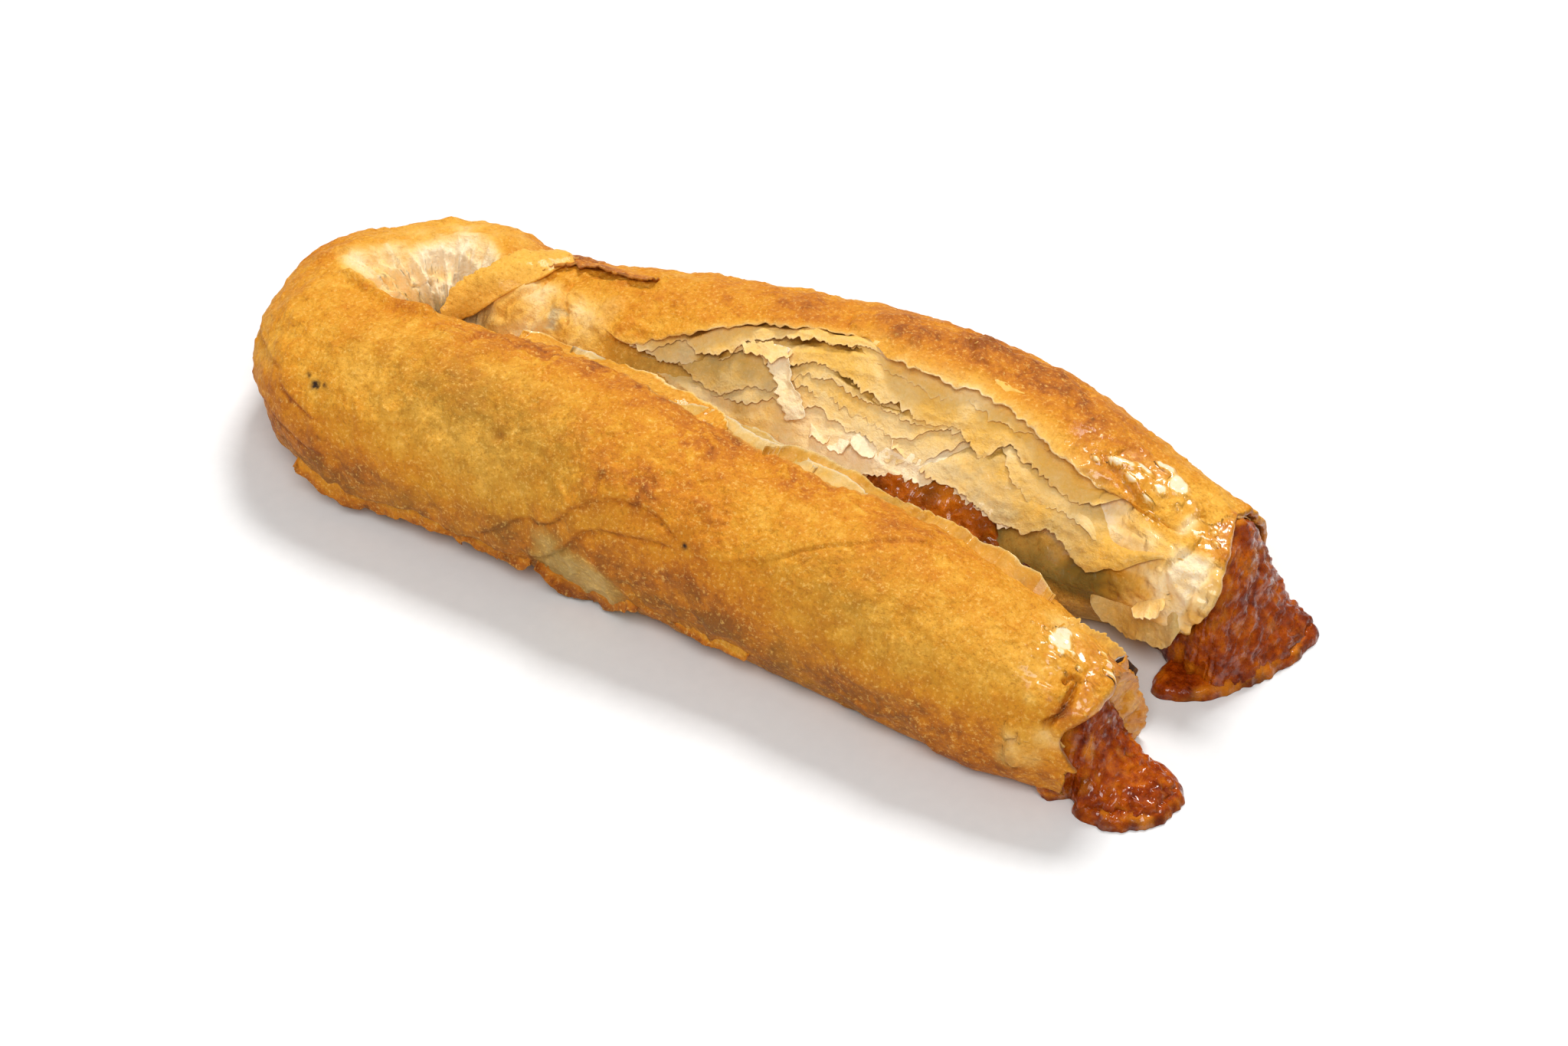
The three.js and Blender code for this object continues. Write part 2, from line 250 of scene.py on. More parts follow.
def shell(P, thick, n=None):
    """A closed thin leaf: the grid of points P and its copy thick below, joined round the rim. Returns points and quads."""
    R, C = P.shape[:2]
    n = normals(P) if n is None else n
    t = np.asarray(thick, float)
    t = t[..., None] if t.ndim == 2 else t
    top, bot = P.reshape(-1, 3), (P - n * t).reshape(-1, 3)
    f = [quads(R, C), quads(R, C, base=R * C, flip=True)]
    idx = np.arange(R * C).reshape(R, C)
    rim = np.concatenate([idx[0, :-1], idx[:-1, -1], idx[-1, :0:-1], idx[:0:-1, 0]])
    nxt = np.roll(rim, -1)
    side = np.stack([rim, rim + R * C, nxt + R * C, nxt], -1)
    return np.concatenate([top, bot]), np.concatenate(f + [side])


# ---- marks on the skin: lines and patches given by length along the roll and angle round it (degrees) ---------------------------------------------
def skin3(pts, depth=0.0):
    return np.array([point(s, math.radians(a), depth) for s, a in pts]).reshape(-1, 3)


def stroke(V, N, pts, reach, depth=0.0):
    """Distance of each point from a polyline on the skin, which side of it the point is on, and how far along (0 to 1)."""
    L = skin3(pts, depth)
    d = np.full(len(V), 1e9)
    side = np.zeros(len(V))
    along = np.zeros(len(V))
    seg = np.linalg.norm(np.diff(L, axis=0), axis=1)
    run = np.concatenate([[0], np.cumsum(seg)]) / seg.sum()
    lo, hi = L.min(0) - reach, L.max(0) + reach
    idx = np.nonzero(((V > lo) & (V < hi)).all(1))[0]
    W, M = V[idx], N[idx]
    for k in range(len(L) - 1):
        a, b = L[k], L[k + 1]
        e = b - a
        t = np.clip(((W - a) @ e) / (e @ e), 0, 1)
        r = W - (a + t[:, None] * e)
        dd = np.linalg.norm(r, axis=1)
        m = dd < d[idx]
        j = idx[m]
        d[j] = dd[m]
        side[j] = np.sign(np.einsum("ij,ij->i", np.cross(np.broadcast_to(e, r.shape), r), M))[m]
        along[j] = (run[k] + t * (run[k + 1] - run[k]))[m]
    return d, side, along


def ends(u, a=0.12):
    """Fades a stroke out at both its ends."""
    return smooth(0, a, u) * (1 - smooth(1 - a, 1, u))


def blob(V, s, a, r, stretch=1.0, depth=0.0):
    """Soft round patch of radius r round a point of the skin, longer along the roll by stretch."""
    c = point(s, math.radians(a), depth)
    _, _, t = rail(np.float64(s))
    D = V - c
    al = D[:, 0] * t[0] + D[:, 1] * t[1]
    d2 = (D**2).sum(1) - al**2 + (al / stretch) ** 2
    return np.exp(-d2 / (r * r))


# ---- the browned skin --------------------------------------------------------------------------------------------------------------------------------
# Where the outer layer ends: on the near leg's valley side and, higher up, along the burst. Length along the roll, angle.
EDGE = [
    (0, 128), (20, 130), (34, 133), (44, 134), (53, 127), (63, 119), (71, 117), (79, 113), (88, 114), (95, 118), (105, 115), (116, 121), (125, 127),
    (135, 131), (146, 128), (156, 122), (180, 120), (215, 122), (240, 124), (256, 122), (262, 124), (267, 130), (270, 130.5), (274, 126), (280, 120), (284, 115),
    (287, 111), (291, 106), (297, 103), (302, 101.5), (307, 98), (312.5, 97.5), (316, 96.5), (319, 98), (322, 101), (325.5, 105.5), (329, 106.5), (334, 105.8), (340.7, 106.4), (347.4, 103.6),
    (352, 105.2), (355, 104), (361, 108), (368, 111.5), (372, 112), (376, 114.5), (380, 114), (385, 111.5), (390, 110), (397, 110), (410, 112),
]


def edge_phi(s):
    return np.radians(table([a for a, _ in EDGE], [b for _, b in EDGE], s))


def lip_on(s):
    """How free the outer layer's edge stands: 1 on the burst, partly on the near leg."""
    near = 0.8 * smooth(36, 60, s) * (1 - smooth(136, 156, s))
    far = smooth(262, 270, s) * (1 - smooth(376, 390, s)) * (1 - 0.96 * np.exp(-(((s - 321.5) / 5.0) ** 4)))
    return np.maximum(near, far)


def skin_height(V, N, S, F, fine=1.0):
    """Height of the skin over its even shape, in mm, and how toasted, pale, glazed and charred each point is."""
    h = 1.7 * N1.fbm(V, 26, 2) + 1.15 * N2.fbm(V, 10, 3) + fine * (0.42 * N3.fbm(V, 4.6, 3) + 0.14 * N4.fbm(V, 1.9, 2))
    # wrinkles and small blisters, in patches
    where = smooth(-0.15, 0.35, N1.fbm(V + 200, 22, 2))
    warp = V + 2.5 * np.stack([N2(V, 12), N3(V, 12), N4(V, 12)], -1)
    h += 0.55 * where * (smooth(0.22, 0.0, np.abs(N3(warp, 8.5))) - 0.35)
    h += 0.10 * fine * N3(V + 7, 1.1)
    peel = smooth(0.24, 0.27, N2.fbm(V + 500, 13, 5, 0.6))
    h -= 0.28 * peel
    h += 0.7 * np.clip(N4(V + 40, 4.2) - 0.28, 0, 1) + 0.6 * (1 - 0.6 * where) * np.clip(N2(V + 80, 2.3) - 0.22, 0, 1) - 0.5 * np.clip(N3(V + 160, 3.0) - 0.35, 0, 1)
    toast = 0.42 + 0.20 * N2.fbm(V + 90, 26, 3) + 0.27 * N3.fbm(V + 30, 8, 3) + 0.17 * N4.fbm(V + 5, 3.0, 2)
    toast += 0.10 * (h - 0.2)
    pale, glaze, char, olive = (np.zeros(len(V)) for _ in range(4))
    deg = np.degrees(F)
    toast -= 0.06 * peel
    # crisp blisters along the brown ridge and on the top of the near leg; their raised tops are painted paler, a
    # painted highlight
    blis = np.clip(smooth(40, 60, S) * (1 - smooth(170, 190, S)) * np.exp(-(((deg - 108) / 16) ** 2)) + 0.8 * blob(V, 98, 70, 14, 1.6), 0, 1) * smooth(-0.25, 0.2, N1(V + 610, 11))
    bl = smooth(0.10, 0.34, N3(warp * 1.0 + 33, 2.7)) + 0.5 * smooth(0.12, 0.3, N4(V + 12, 1.5))
    h += 0.30 * blis * bl
    toast += blis * (0.12 - 0.26 * bl)
    top = smooth(40, 85, deg) * (1 - smooth(120, 150, deg))
    near = 1 - smooth(150, 190, S)
    farleg = smooth(228, 250, S)
    toast += 0.08 * top * near + 0.10 * farleg * smooth(20, 70, deg) * (1 - smooth(100, 130, deg))
    # patches: length, angle, radius, stretch, amount
    for s, a, r, k, v in [
        (150, 95, 9, 1.6, 0.02), (140, 112, 5, 3.0, 0.22), (118, 112, 5, 3.4, 0.20), (96, 110, 5, 2.4, 0.16), (80, 104, 6, 2.2, 0.12), (64, 104, 6, 2.0, 0.10),
        (98, 62, 11, 1.7, 0.10), (112, 78, 10, 1.6, 0.04), (84, 76, 11, 1.6, 0.08), (134, 76, 9, 1.4, 0.02), (100, 86, 9, 2.4, -0.06), (122, 22, 10, 2.0, -0.16), (150, 40, 12, 1.4, -0.12),
        (88, 12, 9, 1.8, 0.06), (64, 22, 9, 2.2, 0.14), (98, 22, 11, 1.8, 0.22), (66, 38, 10, 2.0, 0.12), (30, 58, 12, 2.0, 0.08), (352, 90, 6, 4.0, 0.10), (40, 40, 14, 1.5, -0.16), (22, 66, 12, 1.3, -0.18), (16, 30, 9, 1.4, 0.06), (60, -12, 9, 2.6, 0.16), (34, 0, 8, 2.0, 0.14), (8, 60, 8, 1.2, -0.2),
        (172, 20, 10, 1.4, 0.22), (160, -2, 8, 2.0, 0.16), (184, 44, 12, 1.2, -0.04), (196, 66, 9, 1.2, 0.08), (206, 92, 9, 1.4, 0.1), (214, 104, 7, 1.2, 0.1), (190, 84, 8, 1.2, -0.14),
        (184, 100, 8, 1.5, 0.06), (176, 116, 4, 2.4, 0.14), (168, 112, 4, 2.0, 0.12), (228, 72, 9, 1.2, -0.2), (240, 100, 6, 1.6, 0.1), (246, 62, 5, 2.6, 0.4), (256, 98, 8, 1.4, 0.06),
        (276, 104, 6, 2.6, -0.05), (286, 84, 8, 2.0, 0.12), (304, 82, 7, 2.2, 0.14), (326, 78, 8, 2.0, 0.16), (344, 76, 8, 2.0, 0.16), (362, 78, 8, 2.0, 0.12), (380, 84, 8, 1.6, 0.04),
        (394, 80, 7, 1.2, -0.22), (400, 110, 6, 1.2, -0.28), (354, 60, 7, 2.6, 0.12), (222, 56, 7, 1.4, -0.16), (178, 60, 9, 1.2, -0.1), (150, 10, 9, 1.4, -0.08),
    ]:
        toast += v * blob(V, s, a, r, k)
    # olive patches: length, angle, radius, stretch, amount; the one at 226 along and 158 round is painted shade in the
    # opening between the two legs
    for s, a, r, k, v in [(124, 40, 11, 1.8, 0.20), (138, 60, 10, 1.6, 0.24), (150, 66, 10, 1.4, 0.16), (110, 12, 9, 1.8, 0.10), (30, 30, 12, 2.2, 0.13), (52, 40, 9, 1.6, 0.12), (168, 60, 10, 1.2, 0.10),
                          (118, 62, 8, 1.5, 0.10), (46, 60, 9, 1.6, 0.08), (226, 158, 6, 1.4, 0.6), (250, 150, 9, 2.0, 0.10)]:
        olive += v * blob(V, s, a, r, k)
    # near end: pale sheets low down, brown folds, caramel by the mouth
    for s_, a_, r_, k_, v_ in [(9.6, 14, 2.6, 0.8, 0.45), (10.2, -4, 2.6, 0.8, 0.35), (4.6, 26, 2.2, 1.2, 0.45), (6.6, 4, 3.2, 1.3, 0.35), (9.2, 46, 1.4, 1.0, 0.4), (12, 112, 3.0, 1.6, 0.5)]:
        pale += v_ * blob(V, s_, a_, r_, k_)
    for s_, a_, r_, k_, v_ in [(8.8, 0, 1.5, 1.0, 0.55), (3.9, 48, 1.6, 1.0, 0.5), (1.6, 40, 2.4, 1.0, 0.35), (3.0, 60, 3.0, 1.0, 0.15)]:
        toast += v_ * blob(V, s_, a_, r_, k_)
    # far end: orange glazed hollows, white and pink sheets, an amber band by the filling
    for s_, a_, r_, k_, v_ in [(383.2, 121, 2.6, 1.6, 0.8), (389, 119, 3.0, 1.6, 0.7), (391.9, 109, 2.4, 1.6, 0.6), (380, 97, 2.6, 2.4, 0.8), (388, 100, 2.6, 2.2, 0.8), (394, 92, 2.2, 1.6, 0.5)]:
        hot = v_ * blob(V, s_, a_, r_, k_)
        pale -= 0.1 * hot
        toast -= 0.26 * hot
        glaze += 0.7 * hot
    panel = smooth(397.6, 399.2, S + 1.2 * N2(V, 5)) * (1 - smooth(403.6, 404.8, S + 0.8 * N3(V, 4))) * smooth(112, 120, deg) * (1 - smooth(166, 176, deg))
    pale += 0.36 * panel
    tail = smooth(372, 384, S) * smooth(112, 122, deg + 3 * N2(V + 3, 6))
    low = smooth(150, 160, deg + 3 * N3(V + 3, 5))
    pale += (0.56 - 0.20 * low + 0.25 * N3(V + 21, 4)) * tail
    h += 0.5 * tail * (0.5 - np.abs(np.sin(deg * 0.28 + 0.06 * S + 1.8 * N2(V + 31, 7)))) * 0.5
    toast -= 0.12 * tail
    olive += (0.34 + 0.3 * N2(V + 21, 5)) * tail * low * (1 - smooth(392, 398, S))
    white = np.exp(-(((S - 396.6) / 1.6) ** 2)) * smooth(92, 98, deg) * (1 - smooth(108, 116, deg))
    pale += 0.8 * white
    amber = smooth(398.2, 400.2, S + 0.9 * N2(V + 9, 4)) * smooth(60, 72, deg) * (1 - smooth(112, 122, deg)) + smooth(404.2, 405.4, S + 0.6 * N2(V + 9, 4)) * smooth(110, 118, deg) * (1 - smooth(196, 206, deg))
    toast += (0.12 + 0.5 * np.clip(N3.fbm(V, 3.0, 3), 0, 1)) * amber
    glaze += 1.2 * amber
    # inside of the bend: pulled thin, pale, with gathers running down to the middle
    rim0 = table([166, 173, 177, 182, 188, 193, 198, 204, 211, 219, 228, 236], [148, 130, 116, 104, 91, 80, 66, 80, 88, 86, 86, 100], S)
    fun = smooth(168, 176, S) * (1 - smooth(228, 240, S)) * smooth(-3, 11, deg + 5 * N2(V, 8) - rim0)
    g1 = 1 - np.abs(np.sin(S * 0.36 + 1.2 * N1(V, 12) + deg * 0.02))
    g2 = 1 - np.abs(np.sin(S * 0.85 + 1.2 * N2(V, 9) - deg * 0.015))
    gather = 0.62 * g1**2 + 0.38 * g2**2
    h += fun * 0.7 * smooth(4, 20, deg - rim0) * ((1 - np.abs(np.sin(S * 1.7 + 1.0 * N3(V, 6) + deg * 0.03))) ** 2 - 0.35)
    h += fun * (3.9 * (gather - 0.45)) * smooth(-2, 26, deg - rim0) * (1 - 0.5 * smooth(150, 180, deg)) - 2.2 * fun * smooth(4, 34, deg - rim0)
    pale += fun * (0.62 + 0.30 * gather + 0.16 * N3(V, 5)) * (0.60 + 0.40 * smooth(0, 22, deg - rim0))
    toast -= (0.24 - 0.26 * smooth(0.5, 0.1, gather)) * fun
    # top of the bend's far side is drawn thin and pale too
    soft = smooth(200, 212, S) * (1 - smooth(228, 240, S)) * smooth(50, 78, deg)
    pale += 0.40 * soft * (0.7 + 0.9 * N2(V, 6))
    h += 0.5 * soft * (smooth(0.3, 0.0, np.abs(N1(V * np.array([1, 1, 0.4]), 7))) - 0.4)
    # the start of the far leg: the dough fans out from a pinch
    fan = smooth(232, 242, S) * (1 - smooth(258, 268, S)) * smooth(92, 108, deg) * (1 - smooth(165, 180, deg))
    h += fan * 1.2 * (0.5 - np.abs(np.sin(S * 0.30 + deg * 0.03 + 1.2 * N2(V, 8))))
    pale += 0.58 * fan * (0.80 + 0.8 * N3(V, 8))
    toast -= 0.10 * fan
    # a small grey tear in it
    tear = np.exp(-(((S - 251) / 1.6) ** 2)) * smooth(115, 119, deg) * (1 - smooth(133, 137, deg)) * smooth(-0.5, 0.1, N3(V, 2.5))
    pale += 0.5 * tear
    olive += 0.45 * tear
    h -= 0.5 * tear
    # the thinner under layer that shows low on the near leg
    under = smooth(119, 112, S + 2 * N3(V + 41, 4)) * smooth(92, 102, S) * smooth(14, -1, deg + 0.6 * (112 - S) + 5 * N2(V + 41, 8) + 3 * N3(V + 43, 3))
    pale += 0.50 * under
    toast += 0.16 * under
    olive += 0.17 * under
    # lines: points, width, depth of the crease, height of the step on its left, toast, dark (painted shade in the
    # crease)
    for pts, w, crease, step, tint, dark in [
        ([(116, 6), (111.6, 13), (107.5, 26), (103.6, 35.5), (98.2, 42), (93.6, 44), (88.4, 42), (85, 37), (82, 33.5)], 0.6, 0.5, 0.75, 0.12, 0.10),
        ([(82, 33.5), (78, 31.2), (73, 34.6), (67.2, 43.4), (62.6, 53), (59.4, 62), (55.8, 71), (52, 78.5), (48, 87.3), (43.6, 95.5), (37, 108), (30, 124)], 0.5, 0.3, 0.5, 0.04, 0.0),
        ([(121, -14), (114.4, -11), (108.7, 1.7), (104, 16), (100, 20.6), (95.4, 23.5), (90, 27), (85.5, 29.2), (81.7, 30.2)], 0.7, 0.6, 0.9, 0.15, 0.22),
        ([(103.2, 38.4), (104.1, 46.4), (103.5, 53), (102.5, 58)], 0.5, 0.4, 0.2, 0.1, 0.08),
        ([(132, -12), (129.5, -9.2), (125.5, -2.7), (121.5, 3.6), (118.4, 7.6), (114.7, 9.2), (111.8, 12.1)], 0.6, 0.5, 0.4, 0.25, 0.05),
        ([(189.2, 121.8), (191.5, 127), (194.3, 131)], 0.35, 0.6, 0.2, -0.1, 0.5),
        ([(203.8, 127), (208, 128.5), (212.8, 129.6)], 0.4, 0.7, 0.3, -0.1, 0.35),
        ([(211.6, 138.2), (212, 128), (212.6, 117.4)], 0.45, 0.6, 0.2, 0.1, 0.3),
        ([(221.9, 90.9), (220, 102), (218.5, 112)], 0.6, 0.6, 0.2, 0.15, 0.1),
        ([(192.8, 80.3), (189.7, 90), (183.6, 102.6), (177.5, 108.5), (169.4, 113.4), (160, 110)], 2.0, -1.7, 0.5, 0.05, 0.0),
        ([(195, 68.6), (198, 71.3), (198, 82.2), (201, 92)], 0.7, 0.6, 0.9, 0.15, 0.03),
        ([(149.6, 91), (149.2, 104.4), (146.8, 115)], 0.9, 0.5, 0.5, 0.12, 0.03),
        ([(239.2, 145.4), (239.2, 132.5), (241.5, 117.3), (243.8, 105.2), (244.5, 90)], 0.8, 0.9, -0.7, 0.05, 0.05),
        ([(254.5, 131.6), (252.1, 118), (249.8, 104.4), (248.7, 90)], 0.8, 1.0, 0.9, 0.1, 0.05),
        ([(167.1, -17), (163.7, -25), (159.4, -24), (153.8, -20.3), (149.5, -19), (144.6, -17.8), (141, -18.8), (136.4, -21), (131, -18.2), (126.1, -19.2), (119, -21)], 0.8, 1.2, 1.1, 0.15, 0.35),
        ([(187, 8), (183, 14), (176, 10), (171, 4), (166, 2)], 0.6, 0.5, 0.5, 0.3, 0.03),
        ([(176, 30), (173, 26), (169, 22)], 0.5, 0.4, 0.3, 0.35, 0.05),
        ([(190, 20), (184, 30), (176, 36)], 0.6, 0.4, 0.5, 0.1, 0.0),
        ([(160, 24), (156, 33), (150, 36), (146, 44)], 0.5, 0.3, 0.35, 0.05, 0.0),
        ([(312, 80), (313, 90), (314, 96)], 0.7, 0.5, 0.5, 0.12, 0.0),
        # near cut end: folds and the edges of thin layers
        ([(4.6, 83), (4.1, 71), (3.7, 61), (3.6, 48), (4.7, 37), (5.9, 31)], 0.7, 2.0, 0.3, 0.25, 0.55),
        ([(5.0, 80), (5.5, 74), (5.9, 68)], 0.6, 1.3, 0.2, 0.25, 0.3),
        ([(9.9, 60), (9.5, 51), (9.4, 39), (9.0, 30), (8.6, 22)], 0.5, 0.3, 0.6, 0.0, 0.0),
        ([(10.4, 29), (10.9, 20), (10.8, 11), (10.3, -4), (8.8, -12)], 0.5, 0.4, 0.9, 0.05, 0.06),
        ([(8.6, 22), (8.2, 13), (9.7, 9), (10.2, 2), (9.5, -3), (7.5, -7), (6.1, -9)], 0.55, 1.0, 0.7, 0.15, 0.25),
        ([(5.5, 28), (4.1, 32), (2.8, 27)], 0.5, 0.4, 0.5, 0.0, 0.0),
        # far cut end: the edges of the sheets round the filling
        ([(400.1, 112), (399.0, 125), (398.0, 139), (399.4, 151), (401.8, 160)], 0.6, 0.8, -0.9, 0.1, 0.1),
        ([(404.7, 117), (404.4, 128), (404.0, 141), (404.7, 158)], 0.5, 0.5, 0.7, 0.0, 0.0),
        ([(396.4, 111), (396.2, 104), (396.6, 97), (398, 90)], 0.5, 0.5, 0.7, 0.0, 0.0),
        ([(374.5, 98), (379.1, 101), (383.7, 104), (388, 107), (392, 104)], 0.8, 0.5, 0.6, 0.0, 0.0),
        ([(338, 74), (340, 84), (341, 91)], 0.7, 0.5, 0.4, 0.12, 0.0),
        ([(374, 113), (380, 115), (386, 113.5), (392, 112), (398, 108)], 0.5, 0.5, -0.9, 0.1, 0.05),
        ([(378, 122), (383, 123), (388, 120.5), (394, 120), (399, 122)], 0.45, 0.4, -0.8, 0.05, 0.0),
        ([(376, 131), (382, 133), (388, 130), (393, 127), (398, 128)], 0.45, 0.5, -0.9, 0.05, 0.0),
        ([(380, 142), (386, 141), (390, 143), (395, 138), (399, 139)], 0.45, 0.4, -0.8, 0.05, 0.0),
        ([(384, 152), (389, 150), (394, 149), (398, 146)], 0.45, 0.5, -0.9, 0.05, 0.0),
        ([(352, 72), (350, 84)], 0.8, 0.4, 0.3, 0.1, 0.0),
    ]:
        d, side, u = stroke(V, N, pts, 12)
        e = ends(u)
        d = np.abs(d + side * 0 + 0.35 * N3(V + 900, 2.2) * (w < 1.5))
        h += e * (-1.25 * crease * np.exp(-((d / (0.8 * w)) ** 2)) + step * (0.5 + 0.5 * np.tanh(side * d / (0.5 * w))) * np.exp(-((d / 5.5) ** 2)))
        toast += e * (0.85 * tint + 0.03) * np.exp(-((d / (1.0 * w)) ** 2))
        # painted shade: the dark column darkens the crease where shade falls
        char += e * dark * 0.45 * np.exp(-((d / (0.5 * w)) ** 2))
    # pits: length, angle, radius, depth, dark
    for s, a, r, dep, dk in [(129.6, 47, 1.5, 1.1, 0.10), (35, 99, 1.9, 0.8, 0.0), (30.5, 95, 1.4, 0.6, 0.0), (170.7, 40.5, 1.0, 0.4, 0.0), (147.6, -20, 1.6, 1.4, 0.6), (54.2, 82, 0.6, -0.3, 0.0)]:
        g = blob(V, s, a, r)
        h -= dep * g
        toast += 0.3 * g if dk else -0.3 * g
        char += dk * g
    # specks burnt black
    grit = 0.5 + 0.5 * N4(V, 0.9)
    for s, a, r, v in [(170.9, 41.5, 1.0, 1.7), (172.6, 44.5, 0.55, 1.4), (169.4, 44, 0.5, 1.4), (167.9, 12.9, 0.6, 0.5), (164.2, 14.7, 0.5, 0.4), (82.1, 33.2, 0.7, 1.4), (88.1, 39.8, 0.35, 0.8), (137, 66, 0.3, 0.8), (369, 84, 0.35, 0.9)]:
        char += v * blob(V, s, a, r) * (0.35 + grit)
    # brown rim along the near leg's upper edge
    rim = lip_on(S) * near * np.exp(-(((deg - np.degrees(edge_phi(S))) / 5.0) ** 2)) * smooth(40, 60, S)
    toast += 0.32 * rim * (0.7 + 0.8 * N3(V + 11, 5))
    h += 0.5 * rim * N2(V + 60, 5)
    # the glaze near the two open ends, with painted highlights: white glint cores painted into its colour
    glaze += smooth(15, 8, S + 2 * N1(V, 7)) * smooth(44, 62, deg) * (1 - smooth(120, 140, deg)) + smooth(5.5, 2.5, S) * smooth(10, 30, deg)
    glaze += smooth(366, 384, S) * smooth(74, 94, deg) * (1 - smooth(165, 185, deg))
    glaze *= smooth(-0.20, 0.10, N2.fbm(V + 300, 8, 3))
    glaze_spot_and_glint = np.zeros(len(V))
    for s_, a_, r_, k_, v_ in [(386.8, 80.5, 1.1, 2.4, 1.7), (391.2, 86, 1.9, 1.2, 2.0), (384.6, 91, 0.7, 4.0, 1.6), (389.6, 95, 1.0, 1.8, 1.5), (379, 99, 0.5, 4.5, 1.4), (384, 101, 0.5, 4.5, 1.3), (389, 104, 0.5, 4.0, 1.3), (376, 104, 0.45, 4.0, 1.1), (382, 95, 0.9, 2.4, 1.0), (379.5, 97, 0.8, 1.8, 0.8), (393.4, 96, 1.0, 1.2, 0.8), (400.6, 97, 0.9, 1.0, 1.0), (402, 104, 0.8, 1.4, 0.9), (374.5, 100, 1.0, 2.0, 0.6),
                                (10.2, 94, 2.0, 1.3, 1.8), (10.6, 104, 1.6, 1.0, 1.4), (9.0, 88, 0.8, 1.0, 0.9), (7.4, 92, 0.7, 1.0, 0.9), (6.6, 76, 0.6, 1.0, 0.8), (5.4, 86, 0.7, 1.0, 0.9), (4.4, 112, 0.7, 1.0, 1.0), (2.8, 106, 0.7, 1.2, 1.1), (1.3, 97, 0.7, 1.4, 1.1), (14.9, 95, 0.7, 1.2, 0.7), (12.9, 97, 0.6, 1.0, 0.7)]:
        glaze_spot_and_glint += v_ * blob(V, s_, a_, r_, k_)
    painted_glint_core = smooth(0.65, 1.15, glaze_spot_and_glint + 0.5 * N3.fbm(V + 70, 1.8, 2))
    glaze_spot_and_glint = smooth(0.35, 0.75, glaze_spot_and_glint + 0.25 * N3.fbm(V + 70, 1.8, 2))
    glaze = np.maximum(np.minimum(glaze, 0.8), 0) * (1 - 0.85 * panel) + glaze_spot_and_glint
    h += np.minimum(glaze, 1) * (0.40 * N3.fbm(V + 70, 2.6, 2)) * (1 - glaze_spot_and_glint) + 0.5 * glaze_spot_and_glint
    # painted highlight: the glint cores are painted near white and the glossy spots a little paler
    pale += 0.12 * glaze_spot_and_glint + 1.1 * painted_glint_core
    toast += 0.04 * glaze
    # painted shade: low down the dough is painted browner and more olive, where the flank faces away from the light
    toast += 0.08 * smooth(0, -35, deg) + 0.32 * smooth(28, -6, deg) * (1 - smooth(190, 230, S))
    olive += 0.32 * smooth(20, -10, deg) * smooth(20, 40, S) * (1 - smooth(165, 200, S)) * (0.8 + 0.6 * N2(V + 23, 9))
    return h, toast, pale, glaze, char, olive


NA0, NA1, NL, NU, ND, NB = 9, 160, 6, 5, 42, 8
ROWS = 860
S_ROW = np.linspace(0.0, LENGTH, ROWS)


def crust_grid():
    S = S_ROW[:, None]
    rag = 0.036 * N1.fbm(np.stack([S_ROW, 0 * S_ROW, 0 * S_ROW], -1), 7, 4) + 0.030 * N2.fbm(np.stack([S_ROW, 0 * S_ROW + 9, 0 * S_ROW], -1), 2.2, 2)
    f = lip_on(S_ROW)[:, None]
    E = edge_phi(S_ROW)[:, None] + (rag[:, None] * np.pi / 2) * f
    a0 = np.radians(np.linspace(-90, -50, NA0, endpoint=False))[None, :]
    t1 = np.linspace(0, 1, NA1)[None, :]
    A = np.concatenate([np.broadcast_to(a0, (ROWS, NA0)), np.radians(-50) + (E - np.radians(-50)) * t1], 1)
    tl = (np.arange(1, NL + 1) / NL)[None, :]
    L = E + np.radians(0.12) * tl * (1 - f) + np.radians(0.9) * np.sin(np.pi * tl) * f
    tu = (np.arange(1, NU + 1) / NU)[None, :]
    back = np.radians(6.0)
    U = E + np.radians(0.12) * (1 + tu) * (1 - f) - back * tu * f
    start = U[:, -1:]
    td = (np.arange(1, ND + 1) / ND)[None, :]
    D = start + (np.pi - start) * td
    Bc = np.pi + np.pi / 2 * (np.arange(1, NB + 1) / (NB + 1))[None, :]
    Bc = np.broadcast_to(Bc, (ROWS, NB))
    F = np.concatenate([A, L, U, D, Bc], 1)
    S2 = np.broadcast_to(S, F.shape)
    deg = np.degrees(F)
    cut0 = table([-90, -40, 0, 20, 34, 49, 70, 94, 103, 114, 140, 180, 270], [-2.2, -3.0, -2.8, 2.4, 3.0, 1.4, 0.4, 0.7, 2.2, 4.6, 5.0, 4.0, 4.0], deg) + 0.5 * N2.fbm(np.stack([deg / 9, 0 * deg, 0 * deg], -1), 1.6, 3)
    cut1 = table([-90, 0, 40, 72, 103, 117, 132, 153, 171, 200, 270], [6, 7, 8.5, 9.2, 5.6, 4.3, 2.8, 2.4, 3.7, 4, 6], deg) + 1.0 * N3.fbm(np.stack([deg / 9, 0 * deg, 0 * deg], -1), 1.6, 3)
    S2 = S2 + cut0 * np.clip(1 - S2 / 24, 0, 1) - cut1 * np.clip(1 - (LENGTH - S2) / 24, 0, 1)
    nA = NA0 + NA1
    depth = np.zeros_like(F)
    i0 = nA + NL + NU
    dt = np.broadcast_to(smooth(0, 0.1, td), (ROWS, ND))
    depth[:, i0 : i0 + ND] = dt
    P = point(S2, F, depth)
    P[..., 2] = np.maximum(P[..., 2], 0)
    # even frame for the displacement
    du = point(S2 + 0.6, F, depth) - point(S2 - 0.6, F, depth)
    dv = point(S2, F + 0.01, depth) - point(S2, F - 0.01, depth)
    n = np.cross(dv, du)
    n /= np.maximum(np.linalg.norm(n, axis=-1, keepdims=True), 1e-9)
    return S2, F, P, n, f, tl, tu, td, i0


